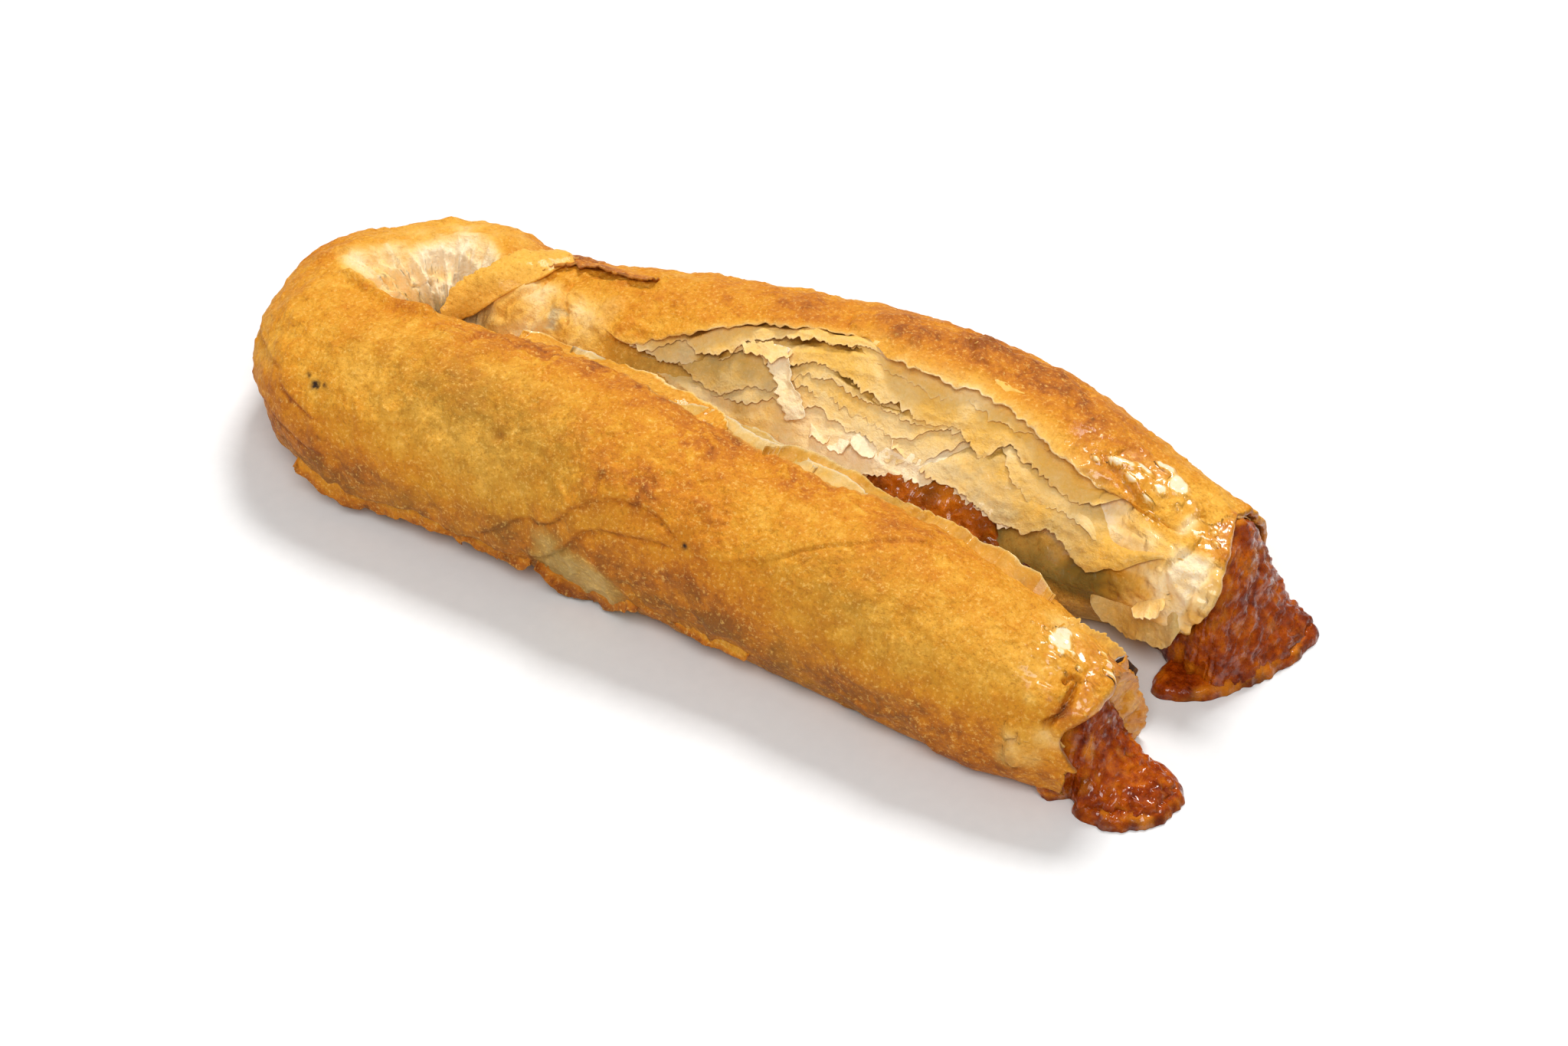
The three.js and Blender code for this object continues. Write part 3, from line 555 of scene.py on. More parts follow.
def make_crust(mat):
    S2, F, P, n, f, tl, tu, td, i0 = crust_grid()
    R, C = F.shape
    V, M = P.reshape(-1, 3), n.reshape(-1, 3)
    h, toast, pale, glaze, char, olive = skin_height(V, M, S2.ravel(), F.ravel())
    h = h.reshape(R, C)
    deg2 = np.degrees(F)
    toast, pale, glaze, char, olive = (v.reshape(R, C).copy() for v in (toast, pale, glaze, char, olive))
    # the free edge curls up a little and is thin; under it the next layer lies lower
    nA = NA0 + NA1
    gaps = sum(np.exp(-(((S_ROW - c) / w) ** 2)) for c, w in [(294, 3), (301, 3.2), (311, 2.6), (330, 3), (337, 4.5), (349.5, 3), (365, 4)])
    curl = (0.22 + 0.9 * np.clip(N3(np.stack([S_ROW, 0 * S_ROW, 0 * S_ROW + 5], -1), 9), -0.3, 1) + 0.7 * gaps)[:, None] * f
    ta = np.clip((np.arange(nA)[None, :] - (nA - 16)) / 15.0, 0, 1)
    lift = np.zeros_like(h)
    lift[:, :nA] = curl * ta**2
    thick = 0.5
    lift[:, nA : nA + NL] = curl - f * thick * tl
    lift[:, nA + NL : i0] = curl * (1 - 0.7 * tu) - f * (thick + 0.35 * tu)
    tail = (smooth(368, 380, S_ROW) * (1 - smooth(398, 404, S_ROW)))[:, None]
    fb = np.maximum(f, (smooth(262, 270, S_ROW) * (1 - smooth(376, 390, S_ROW)))[:, None])
    D0 = -fb * (1.25 - 0.35 * smooth(0.2, 0.9, td)) - (1 - fb) * tail * 0.8 * smooth(0, 0.2, td)
    lift[:, i0 : i0 + ND] = D0
    flat = np.ones_like(h)
    flat[:, i0 : i0 + ND] = 1 - 0.6 * np.maximum(fb, tail * smooth(0, 0.2, td)) * smooth(240, 262, S2[:, i0 : i0 + ND]) - 0.35 * fb * (1 - smooth(240, 262, S2[:, i0 : i0 + ND]))
    burst = opened(S2)
    inner = np.zeros_like(h)
    inner[:, i0 : i0 + ND] = 1
    inner[:, nA + NL : i0] = 1
    lift = lift - 4.6 * smooth(378, 402, S2) * smooth(172, 192, deg2) * (1 - smooth(236, 262, deg2))
    # no bumps under the base
    zf = smooth(0.0, 5.0, P[..., 2])
    H = h * flat * (0.15 + 0.85 * zf) + lift
    Q = P + n * H[..., None]
    Q[..., 2] = np.maximum(Q[..., 2], 0.02)
    pale += inner * fb * burst * (0.85 - 0.45 * smooth(328, 306, S2))
    # painted shade: the deep wall under the round sheet is painted dark olive
    wall_shade = inner * smooth(352, 366, S2) * (1 - smooth(386, 395, S2)) * smooth(146, 154, np.degrees(F))
    pale -= wall_shade * 0.85
    olive += wall_shade * (0.85 + 0.4 * N2(V, 6).reshape(R, C))
    # painted shade: the inner wall in the left pocket of the burst is painted olive
    olive += inner * fb * smooth(262, 270, S2) * (1 - smooth(312, 326, S2)) * (0.40 + 0.25 * N2(V + 51, 7).reshape(R, C))
    pale[:, nA : nA + NL] += f * 0.5
    thin = smooth(17, 3, np.degrees(edge_phi(S2) - F)) * (F < edge_phi(S2) + 0.1) * smooth(310, 324, S2) * (1 - smooth(376, 386, S2))
    pale += 0.19 * thin
    toast -= 0.12 * thin
    pale[:, nA - 6 : nA] += 0.25 * f * np.linspace(0, 1, 6)[None, :]
    toast -= inner * burst * fb * 0.4
    attrs = {"toast": toast, "pale": pale, "glaze": glaze, "char": char, "olive": olive, "thin": 0 * toast}
    # both cut ends turn in towards the filling
    rows, vals = [Q], {k: [v] for k, v in attrs.items()}
    for end in (0, 1):
        ring = Q[0] if end == 0 else Q[-1]
        s0 = 0.0 if end == 0 else LENGTH
        c, nn, t = rail(np.float64(s0))
        out = -1.0 if end == 0 else 1.0
        hgt = table(ALONG, HEIGHT, s0)
        tx = np.array([t[0], t[1], 0]) * out
        mid = np.array([c[0], c[1], 0.44 * hgt])
        ahead0 = ((ring - mid) @ tx)[:, None] * tx
        fd = np.degrees(F[0])
        wob = N1.fbm(np.stack([np.cos(F[0]) * 3, np.sin(F[0]) * 3, 0 * F[0] + 7 * end], -1), 1.3, 3)
        fold = table([-90, 0, 30, 60, 90, 120, 150, 200, 270], [0.10, 0.12, 0.15, 0.22, 0.27, 0.25, 0.20, 0.12, 0.10], fd) if end == 0 else table([-90, 0, 60, 90, 120, 160, 200, 270], [0.10, 0.10, 0.09, 0.09, 0.12, 0.12, 0.10, 0.10], fd)
        new = []
        for k in range(1, 15):
            u = k / 14
            turn = min(u / 0.6, 1)
            inward = 1 - (fold + 0.04 * wob) * (1 - math.cos(turn * math.pi)) / 2 - 0.10 * max(u - 0.5, 0)
            ahead = (1.1 + 4.0 * (fold - 0.1) + 0.6 * wob) * math.sin(turn * math.pi) ** 0.8 - 16.0 * max(u - 0.6, 0)
            p = mid + ahead0 + (ring - mid - ahead0) * inward[:, None]
            p = p + tx * ahead[:, None]
            p += 0.25 * N3(p, 3)[:, None] * np.array([0, 0, 1])
            p[:, 2] = np.maximum(p[:, 2], 0.03)
            new.append(p)
            for name, v in attrs.items():
                e = v[0] if end == 0 else v[-1]
                if name == "toast":
                    e = e + 0.5 * smooth(0.2, 0.6, u)
                if name == "glaze":
                    e = np.maximum(e, 0.9 * smooth(0.1, 0.4, u))
                if name == "char":
                    e = e + (0.45 if end == 0 else 0.2) * smooth(0.3, 0.6, u) * (0.5 + 0.9 * N4(p, 4))
                if name == "pale":
                    e = e * (1 - u)
                vals[name].append(e[None]) if end else vals[name].insert(0, e[None])
        if end == 0:
            rows.insert(0, np.array(new[::-1]))
        else:
            rows.append(np.array(new))
    G = np.concatenate(rows)
    AT = {k: np.concatenate(v) for k, v in vals.items()}
    R2 = G.shape[0]
    du, dv = np.gradient(G, axis=0), np.roll(G, -1, axis=1) - np.roll(G, 1, axis=1)
    VN = np.cross(dv, du)
    VN /= np.maximum(np.linalg.norm(VN, axis=-1, keepdims=True), 1e-9)
    j = np.arange(C)
    k = (j + 1) % C
    third = R2 // 3
    for name, a, b in (("crust_near", 0, third + 1), ("crust_bend", third, 2 * third + 1), ("crust_far", 2 * third, R2)):
        n = b - a
        V3, NV = [G[a:b].reshape(-1, 3)], [VN[a:b].reshape(-1, 3)]
        fs = [quads(n, C, wrap=True)]
        at_ = {key: AT[key][a:b].ravel() for key in AT}
        if a == 0 or b == R2:
            row = 0 if a == 0 else n - 1
            V3.append(G[0 if a == 0 else -1].mean(0)[None])
            NV.append(VN[0 if a == 0 else -1].mean(0)[None])
            fs.append(np.stack([np.full(C, n * C), row * C + (k if a == 0 else j), row * C + (j if a == 0 else k)], -1))
            at_ = {key: np.concatenate([v, [0]]) for key, v in at_.items()}
        vn = np.concatenate(NV)
        vn /= np.maximum(np.linalg.norm(vn, axis=-1, keepdims=True), 1e-9)
        keep(build(name, np.concatenate(V3), fs, mat, at_, vn=vn.tolist()), "dough_roll")


# ---- materials ---------------------------------------------------------------------------------------------------------------------------------------
class Mat:
    """A small helper that wires a material's nodes."""

    def __init__(self, name):
        self.m = bpy.data.materials.new(name)
        self.m.use_nodes = True
        self.t = self.m.node_tree
        self.t.nodes.clear()
        self.out = self.add("ShaderNodeOutputMaterial")
        self.b = self.add("ShaderNodeBsdfPrincipled")
        self.link(self.b, "BSDF", self.out, "Surface")
        self.co = self.add("ShaderNodeTexCoord")

    def add(self, kind, **kw):
        n = self.t.nodes.new(kind)
        for k, v in kw.items():
            setattr(n, k, v)
        return n

    def link(self, a, ao, b, bi):
        self.t.links.new(a.outputs[ao], b.inputs[bi])

    def attr(self, name):
        n = self.add("ShaderNodeAttribute", attribute_name=name)
        return n.outputs["Fac"]

    def noise(self, size_mm, detail=3.0, rough=0.55, dist=0.0):
        n = self.add("ShaderNodeTexNoise")
        n.inputs["Scale"].default_value = 1000.0 / size_mm
        n.inputs["Detail"].default_value = detail
        n.inputs["Roughness"].default_value = rough
        n.inputs["Distortion"].default_value = dist
        self.t.links.new(self.co.outputs["Object"], n.inputs["Vector"])
        return n.outputs["Fac"]

    def cells(self, size_mm, feature="F1"):
        n = self.add("ShaderNodeTexVoronoi", feature=feature)
        n.inputs["Scale"].default_value = 1000.0 / size_mm
        self.t.links.new(self.co.outputs["Object"], n.inputs["Vector"])
        return n.outputs["Distance"]

    def math(self, op, a, b=None, clamp=False):
        n = self.add("ShaderNodeMath", operation=op, use_clamp=clamp)
        for i, v in enumerate((a, b)):
            if v is None:
                continue
            if isinstance(v, (int, float)):
                n.inputs[i].default_value = v
            else:
                self.t.links.new(v, n.inputs[i])
        return n.outputs[0]

    def ramp(self, fac, stops):
        n = self.add("ShaderNodeValToRGB")
        e = n.color_ramp.elements
        while len(e) < len(stops):
            e.new(0.5)
        for x, (pos, c) in zip(e, stops):
            x.position = pos
            x.color = (*c, 1) if not isinstance(c, (int, float)) else (c, c, c, 1)
        self.t.links.new(fac, n.inputs["Fac"])
        return n.outputs["Color"]

    def mix(self, fac, a, b, blend="MIX"):
        n = self.add("ShaderNodeMix", data_type="RGBA", blend_type=blend, clamp_factor=True)
        if isinstance(fac, (int, float)):
            n.inputs["Factor"].default_value = fac
        else:
            self.t.links.new(fac, n.inputs["Factor"])
        for key, v in ((6, a), (7, b)):
            if isinstance(v, tuple):
                n.inputs[key].default_value = (*v, 1)
            else:
                self.t.links.new(v, n.inputs[key])
        return n.outputs[2]

    def bump(self, height, mm, strength=1.0, normal=None):
        n = self.add("ShaderNodeBump")
        n.inputs["Distance"].default_value = mm * MM
        n.inputs["Strength"].default_value = strength
        self.t.links.new(height, n.inputs["Height"])
        if normal is not None:
            self.t.links.new(normal, n.inputs["Normal"])
        return n.outputs["Normal"]

    def put(self, name, v):
        if isinstance(v, (int, float)):
            self.b.inputs[name].default_value = v
        elif isinstance(v, tuple):
            self.b.inputs[name].default_value = v
        else:
            self.t.links.new(v, self.b.inputs[name])


def dough(name, leaf):
    m = Mat(name)
    fine, mid, grit = m.noise(1.3, 4, 0.7), m.noise(4.0, 4, 0.6), m.noise(0.8, 3, 0.7)
    broad = m.noise(11.0, 3, 0.5)
    toast, pale, olive, char, glaze = (m.attr(k) for k in ("toast", "pale", "olive", "char", "glaze"))
    # golden to brown, with a fine speckle
    t = m.math("ADD", toast, m.math("MULTIPLY", m.math("SUBTRACT", mid, 0.5), 0.50 if not leaf else 0.55))
    t = m.math("ADD", t, m.math("MULTIPLY", m.math("SUBTRACT", fine, 0.5), 0.66 if not leaf else 0.45))
    # brown: browning, and also painted shade low on the flank and in the gaps under edges
    brown = m.ramp(t, [(0.0, (0.90, 0.45, 0.055)), (0.20, (0.77, 0.365, 0.034)), (0.40, (0.70, 0.285, 0.014)), (0.60, (0.64, 0.222, 0.008)), (0.80, (0.50, 0.145, 0.007)), (1.0, (0.29, 0.072, 0.007))])
    p = m.math("ADD", pale, m.math("MULTIPLY", m.math("SUBTRACT", broad, 0.5), 0.55), clamp=False)
    p = m.math("ADD", p, m.math("MULTIPLY", m.math("SUBTRACT", fine, 0.5), 0.40), clamp=False)
    p = m.math("ADD", p, m.math("MULTIPLY", m.math("SUBTRACT", mid, 0.5), 0.35), clamp=False)
    p = m.math("MULTIPLY", p, m.math("MINIMUM", m.math("MAXIMUM", m.math("MULTIPLY", pale, 6.0), 0.0), 1.0))
    # cream: paleness, and at its top also the painted glint cores near the open ends
    cream = m.ramp(p, [(0.0, (0.84, 0.435, 0.050)), (0.35, (0.87, 0.52, 0.125)), (0.6, (0.90, 0.60, 0.235)), (0.8, (0.92, 0.675, 0.35)), (1.0, (0.94, 0.755, 0.49))])
    c = m.mix(m.math("MULTIPLY", p, 1.6, clamp=True), brown, cream)
    # olive: the dough's own olive tone in places, and painted shade in the burst's pockets, gaps and under edges
    o = m.math("ADD", olive, m.math("MULTIPLY", m.math("MULTIPLY", m.math("SUBTRACT", mid, 0.5), 0.8), m.math("MINIMUM", m.math("MULTIPLY", olive, 6.0), 1.0)), clamp=True)
    c = m.mix(o, c, (0.205, 0.130, 0.022))
    # pale flour specks and small dark ones
    speck = m.ramp(grit, [(0.55, 0.0), (0.68, 1.0)])
    c = m.mix(m.math("MULTIPLY", speck, m.math("MULTIPLY", m.math("SUBTRACT", 1.0, m.math("MULTIPLY", m.math("SUBTRACT", olive, 0.42), 3.0, clamp=True), clamp=True), 0.50 if not leaf else 0.25)), c, (0.95, 0.58, 0.15) if not leaf else (0.95, 0.66, 0.30))
    dark = m.ramp(grit, [(0.32, 1.0), (0.45, 0.0)])
    calm = m.math("SUBTRACT", 1.0, m.math("MULTIPLY", pale, 1.3, clamp=True), clamp=True)
    c = m.mix(m.math("MULTIPLY", dark, m.math("MULTIPLY", calm, 0.48) if not leaf else 0.10), c, (0.33, 0.11, 0.006) if not leaf else (0.50, 0.25, 0.06))
    # char: burnt spots, and painted shade along the creases
    ch = m.math("ADD", char, m.math("MULTIPLY", m.math("SUBTRACT", fine, 0.5), m.math("MULTIPLY", char, 1.5)), clamp=True)
    c = m.mix(ch, c, (0.035, 0.014, 0.006))
    m.put("Base Color", c)
    rough = m.math("SUBTRACT", m.math("ADD", 0.50, m.math("MULTIPLY", mid, 0.24)), m.math("MULTIPLY", glaze, 0.34), clamp=True)
    m.put("Roughness", rough)
    m.put("Specular IOR Level", 0.20 if not leaf else 0.24)
    m.put("Coat Weight", m.math("MULTIPLY", glaze, 0.9, clamp=True))
    m.put("Coat Roughness", 0.05)
    m.put("Subsurface Weight", 0.06 if not leaf else 0.08)
    m.put("Subsurface Radius", (1.0, 0.55, 0.25))
    m.put("Subsurface Scale", 0.0012)
    dull = m.math("SUBTRACT", 1.0, m.math("MULTIPLY", m.math("MINIMUM", glaze, 1.0), 0.9), clamp=True)
    h = m.math("MULTIPLY", m.math("ADD", m.math("MULTIPLY", fine, 0.6), m.math("MULTIPLY", grit, 0.25)), dull)
    n1 = m.bump(m.math("MULTIPLY", mid, dull), 1.1 if not leaf else 0.85, 0.9)
    n2 = m.bump(h, 0.60 if not leaf else 0.45, 1.0, n1)
    m.put("Normal", n2)
    return m.m


def jam_material():
    m = Mat("fruit_filling")
    big, mid, fine = m.noise(5.0, 3, 0.6, 0.6), m.noise(1.6, 4, 0.6), m.noise(0.5, 2, 0.5)
    dry = m.attr("dry")
    t = m.math("ADD", m.math("MULTIPLY", big, 0.7), m.math("MULTIPLY", mid, 0.4))
    c = m.ramp(t, [(0.34, (0.10, 0.009, 0.0006)), (0.46, (0.22, 0.026, 0.0008)), (0.57, (0.36, 0.056, 0.0010)), (0.70, (0.55, 0.120, 0.002))])
    c = m.mix(m.math("MULTIPLY", m.attr("amber"), 0.9, clamp=True), c, (0.66, 0.20, 0.008))
    c = m.mix(m.math("MULTIPLY", dry, 0.85, clamp=True), c, (0.07, 0.012, 0.004))
    m.put("Base Color", c)
    m.put("Roughness", m.math("ADD", 0.24, m.math("MULTIPLY", mid, 0.14)))
    m.put("Specular IOR Level", 0.05)
    # wet in small patches between duller ones
    patches = m.math("MULTIPLY", m.math("SUBTRACT", m.noise(2.0, 3, 0.6), 0.48), 9.0, clamp=True)
    m.put("Coat Weight", m.math("ADD", 0.10, m.math("MULTIPLY", patches, 0.85)))
    m.put("Coat Roughness", 0.04)
    m.put("Coat Normal", m.bump(m.noise(1.5, 1, 0.5), 0.16, 1.0))
    m.put("Subsurface Weight", 0.15)
    m.put("Subsurface Radius", (1.0, 0.22, 0.05))
    m.put("Subsurface Scale", 0.002)
    n1 = m.bump(mid, 0.75, 1.0)
    m.put("Normal", m.bump(fine, 0.20, 1.0, n1))
    return m.m


def floor_material():
    m = Mat("pale_floor")
    f = m.noise(3.0, 3, 0.5)
    m.put("Base Color", m.ramp(f, [(0.3, (0.80, 0.80, 0.795)), (0.7, (0.82, 0.82, 0.815))]))
    m.put("Roughness", 0.75)
    m.put("Specular IOR Level", 0.1)
    return m.m


CRUST, LEAF, JAM = dough("crust", False), dough("leaf", True), jam_material()
PIECES = []


def keep(o, node):
    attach(o, "root")
    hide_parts(node)
    PIECES.append(o)
    return o


make_crust(CRUST)


# ---- leaves of dough ---------------------------------------------------------------------------------------------------------------------------------
def on(s, f, d, off):
    """Point at length s and angle f (radians), between the whole skin (d 0) and the deepest face (d 1), off mm further out."""
    s, f, d, off = np.broadcast_arrays(*(np.asarray(x, float) for x in (s, f, d, off)))
    P = point(s, f, d)
    du = point(s + 0.8, f, d) - point(s - 0.8, f, d)
    dv = point(s, f + 0.02, d) - point(s, f - 0.02, d)
    n = np.cross(dv, du)
    n /= np.maximum(np.linalg.norm(n, axis=-1, keepdims=True), 1e-9)
    return P + n * off[..., None]


def layer(s, q, d, off):
    return on(s, q2phi(q), d, off)


def zero_of(S, k):
    return np.stack([S, 0 * S + 31.7 * k, 0 * S + 11.3 * k], -1)


def torn(N, S, k, rag):
    """Offset in mm of a torn edge along S: fine teeth, some bites and a few long tongues."""
    t = N.fbm(zero_of(S, k), 6.0, 3, 0.6) * 1.3
    bite = np.clip(N(zero_of(S, k + 50), 3.4) - 0.30, 0, 1) * 2.6
    long = np.clip(N(zero_of(S, k + 70), 9.0) - 0.30, 0, 1) * 2.0
    tooth = np.abs(N(zero_of(S, k + 60), 2.1)) * 1.5 + np.abs(N(zero_of(S, k + 61), 1.05)) * 0.9 - 0.55
    return rag * (t - bite + long) + (0.95 + 0.8 * N(zero_of(S, k + 80), 8.0)) * tooth + 0.22 * N(zero_of(S, k + 62), 0.8)


BASE = {"toast": 0.12, "pale": 0.55, "glaze": 0.0, "char": 0.0, "olive": 0.0}


def finish_leaf(name, P, thick, SS, V, w3, N, looks, tone, mat=None, extra=None):
    P[..., 2] = np.maximum(P[..., 2], 0.15)
    vs, fs = shell(P, thick)
    vs[:, 2] = np.maximum(vs[:, 2], 0.03)
    a = {k: 0 * V + v for k, v in {**BASE, **(tone or {})}.items()}
    a["toast"] = a["toast"] + 0.10 * N.fbm(w3, 9, 3)
    a["pale"] = a["pale"] + 0.20 * N.fbm(w3 + 50, 13, 3) * np.minimum(a["pale"] * 4, 1) + 0.12 * smooth(0.93, 1.0, V)
    if looks:
        looks(a, SS, extra, V, N, w3)
    o = build(name, vs, fs, mat or LEAF, {k2: np.concatenate([x.ravel(), x.ravel()]) for k2, x in a.items()})
    return keep(o, "dough_roll")


def leaf(name, k, s0, s1, root, tip, d, off, rag=0.5, curl=0.25, wave=0.28, thick=0.28, step=0.42, cols=26, fade=(14, 14), looks=None, tuck=0.9, tone=None, steps=0.0, gaps=None, meet=None):
    """A thin sheet on the burst flank from a hidden root line to a torn free edge, both given as (length, q) points. d and off are (root, edge) pairs."""
    n = int((s1 - s0) / step) + 2
    S = np.linspace(s0, s1, n)
    qr, qt = curve(root, S), curve(tip, S)
    R0, R1 = table(ALONG, INWARD, S), table(ALONG, HEIGHT, S)
    mm = (0.5 * np.pi) * 0.5 * (R0 + 0.56 * R1)  # about how many mm one unit of q is
    N = Noise(100 + k)
    fin = smooth(s0, s0 + fade[0], S) * (1 - smooth(s1 - fade[1], s1, S))
    qt = qr + np.maximum(qt - qr, 0.03) * (0.06 + 0.94 * fin)
    qt = qt + torn(N, S, k, rag) / mm * (1 - 0.6 * smooth(370, 384, S))
    v = np.linspace(0, 1, cols)
    v = (v + 0.55 * v * (1 - v))[None, :]
    Q = qr[:, None] + (qt - qr)[:, None] * v
    SS = np.broadcast_to(S[:, None], Q.shape)
    V = np.broadcast_to(v, Q.shape)
    cu = curl * (0.8 + 1.6 * np.clip(N(zero_of(S, k + 20), 9.0), -0.3, 1) + 0.8 * N(zero_of(S, k + 30), 3.0))[:, None]
    w3 = np.stack([SS, Q * 30, 0 * Q + 5.1 * k], -1)
    rip = wave * (N.fbm(w3 * np.array([0.6, 1.5, 1]), 7.0, 4, 0.55) * (0.5 + 0.8 * V))
    # faint terraces of the sheets it is baked onto
    ter = steps * (np.abs(((Q * 14 + 1.6 * N(w3, 16)) % 1.0) - 0.5) * 2) ** 3
    O = off[1] + (off[0] - off[1]) * (1 - V) ** 4 + cu * V**5 * fin[:, None] + rip + ter - (1 - smooth(0, 0.5, fin))[:, None] * tuck
    gap_and_shade = 0 * Q
    # gaps: where the sheet dips under the edge above, and painted shade darkens the dip
    if gaps:
        under, places = gaps
        dm = (Q - curve(under, S)[:, None]) * mm[:, None]
        for c0, w0, deep in places:
            gap_and_shade = gap_and_shade + np.exp(-np.abs((SS - c0) / w0) ** 3) * smooth(-1.5, -0.3, dm) * (1 - smooth(0.45 * deep, deep, dm + 0.5 * N(w3 + 70, 2.5)))
        gap_and_shade = np.clip(gap_and_shade, 0, 1)
        O = O - 0.9 * gap_and_shade
    D = d[0] + (d[1] - d[0]) * V
    if meet:
        D = D * (1 - np.exp(-(((SS - meet[0]) / meet[1]) ** 2)) * smooth(1.0, 0.35, V))
        P0 = point(SS, q2phi(Q), 0 * Q)
        relief = skin_height(P0.reshape(-1, 3), normals(P0).reshape(-1, 3), SS.ravel(), q2phi(Q).ravel())[0].reshape(Q.shape)
        O = O + np.minimum(relief, 2.0) * smooth(0.80, 0.35, V)
    P = layer(SS, Q, D, O)

    def both_looks(a, S_, Q_, V_, N_, w_):
        if looks:
            looks(a, S_, Q_, V_, N_, w_)
        # painted shade in the gaps under the edge above
        a["pale"] *= 1 - 0.9 * gap_and_shade
        a["olive"] += 0.75 * gap_and_shade
        a["toast"] += 0.45 * gap_and_shade

    return finish_leaf(name, P, thick * (1 - 0.5 * V**3), SS, V, w3, N, both_looks, tone, extra=Q)


def patch(name, k, A, B, off, d=(0, 0), rag=0.4, curl=0.3, wave=0.25, thick=0.3, step=0.43, cols=18, sag=0.0, tuck=0.8, tone=None, looks=None, fade=0.12, grow=(1, 1), mat=None, both=False):
    """A thin sheet between a hidden root line A and a free edge B, both lines of (length, degrees) on the skin."""
    N = Noise(500 + k)

    def line(L):
        P = skin3(L)
        r = np.concatenate([[0], np.cumsum(np.linalg.norm(np.diff(P, axis=0), axis=1))])
        return r / r[-1], r[-1]

    (ra, la), (rb, lb) = line(A), line(B)
    n = int(max(la, lb) / step) + 2
    t = np.linspace(0, 1, n)
    a0, a1 = table(ra, [x[0] for x in A], t), table(ra, [x[1] for x in A], t)
    b0, b1 = table(rb, [x[0] for x in B], t), table(rb, [x[1] for x in B], t)
    PA, PB = point(a0, np.radians(a1)), point(b0, np.radians(b1))
    wide = np.maximum(np.linalg.norm(PB - PA, axis=1), 0.8)
    fin = smooth(0, fade, t) * (1 - smooth(1 - fade, 1, t))
    T = t * max(la, lb)
    g = (0.3 + 0.7 * np.sqrt(fin)) * (grow[0] + (grow[1] - grow[0]) * t)
    end = (g + torn(N, T, k, rag) / wide)[:, None]
    v = np.linspace(0, 1, cols)
    v = (v + 0.5 * v * (1 - v))[None, :]
    u = v * end
    if both:
        u = u + (1 - v) * (torn(N, T, k + 5, rag) / wide)[:, None]
    S, F = a0[:, None] + (b0 - a0)[:, None] * u, a1[:, None] + (b1 - a1)[:, None] * u
    V = np.broadcast_to(v, S.shape)
    w3 = np.stack([np.broadcast_to(T[:, None], S.shape), u * wide[:, None], 0 * S + 7.3 * k], -1)
    cu = curl * (0.8 + 1.6 * np.clip(N(zero_of(T, k + 20), 8.0), -0.4, 1) + 0.8 * N(zero_of(T, k + 30), 3.0))[:, None]
    O = off[0] + (off[1] - off[0]) * V**1.2 + sag * np.sin(np.pi * np.clip(V, 0, 1)) + cu * V**4 + wave * N.fbm(w3, 6.0, 4, 0.55) * (0.4 + 0.8 * V) - (1 - smooth(0, 0.6, fin))[:, None] * tuck
    P = on(S, np.radians(F), d[0] + (d[1] - d[0]) * V, O)
    return finish_leaf(name, P, thick * (1 - 0.5 * V**3), S, V, w3, N, looks, tone, mat=mat, extra=F)


E1 = [(255, 0.30), (263.9, 0.346), (267, 0.443), (269.9, 0.453), (274.2, 0.391), (280, 0.328), (283.5, 0.277), (286.7, 0.226), (291.1, 0.161), (296.3, 0.142), (301.6, 0.132), (306.8, 0.09), (312.5, 0.087),
      (317, 0.075), (321, 0.045), (330.6, 0.012), (338.1, 0.021), (342.6, 0.02), (349.9, 0.06), (356.5, 0.073), (363.6, 0.077), (368.3, 0.086), (375.2, 0.117), (380, 0.12), (398, 0.14)]
E2 = [(262, 0.50), (272, 0.50), (280, 0.384), (284.4, 0.439), (290, 0.385), (293.8, 0.316), (298.8, 0.28), (303.8, 0.243), (309.1, 0.231), (313.6, 0.218), (317.9, 0.208), (321.4, 0.202), (324.3, 0.225),
      (327.7, 0.193), (333.9, 0.175), (340.7, 0.182), (347.4, 0.15), (354.4, 0.16), (361, 0.20), (368.3, 0.242), (371.6, 0.245), (375.7, 0.28), (380.1, 0.272), (385.3, 0.239), (390.1, 0.203), (398, 0.2)]
E4 = [(268, 0.62), (278, 0.575), (281.2, 0.51), (288.7, 0.431), (295, 0.38), (300.2, 0.406), (304.6, 0.383), (310.9, 0.362), (316.1, 0.384), (321.5, 0.406), (327.3, 0.434), (331.5, 0.434), (338, 0.449),
      (342.9, 0.431), (346.9, 0.416), (350.5, 0.46), (353.6, 0.489), (357.5, 0.389), (361.9, 0.421), (365.3, 0.427), (369.5, 0.445), (373.7, 0.462), (378.3, 0.476), (381.4, 0.512), (384.1, 0.56), (388.8, 0.632),
      (392.3, 0.62), (395.8, 0.561), (400, 0.5)]
E4B = [(280, 0.66), (289.8, 0.611), (294, 0.568), (297.5, 0.521), (301.5, 0.522), (306.4, 0.438), (311.5, 0.422), (316.5, 0.433), (320.8, 0.455), (324.9, 0.464), (329.8, 0.466), (337.9, 0.474), (345.4, 0.45), (358, 0.45)]
E6 = [(282, 0.66), (292.8, 0.617), (297.5, 0.606), (301.9, 0.566), (308.5, 0.562), (311.5, 0.545), (314.1, 0.55), (317.5, 0.59), (322.6, 0.59), (328, 0.595), (331, 0.648), (338, 0.632), (341.4, 0.623), (350, 0.62)]
E7 = [(336, 0.62), (341, 0.66), (351.5, 0.66), (360, 0.70), (363.9, 0.735), (366.5, 0.704), (370.5, 0.722), (373.1, 0.65), (376.6, 0.644), (379.6, 0.689), (383.6, 0.751), (386.3, 0.772), (390, 0.726), (392, 0.747),
      (394.9, 0.708), (397.8, 0.712), (402, 0.70)]
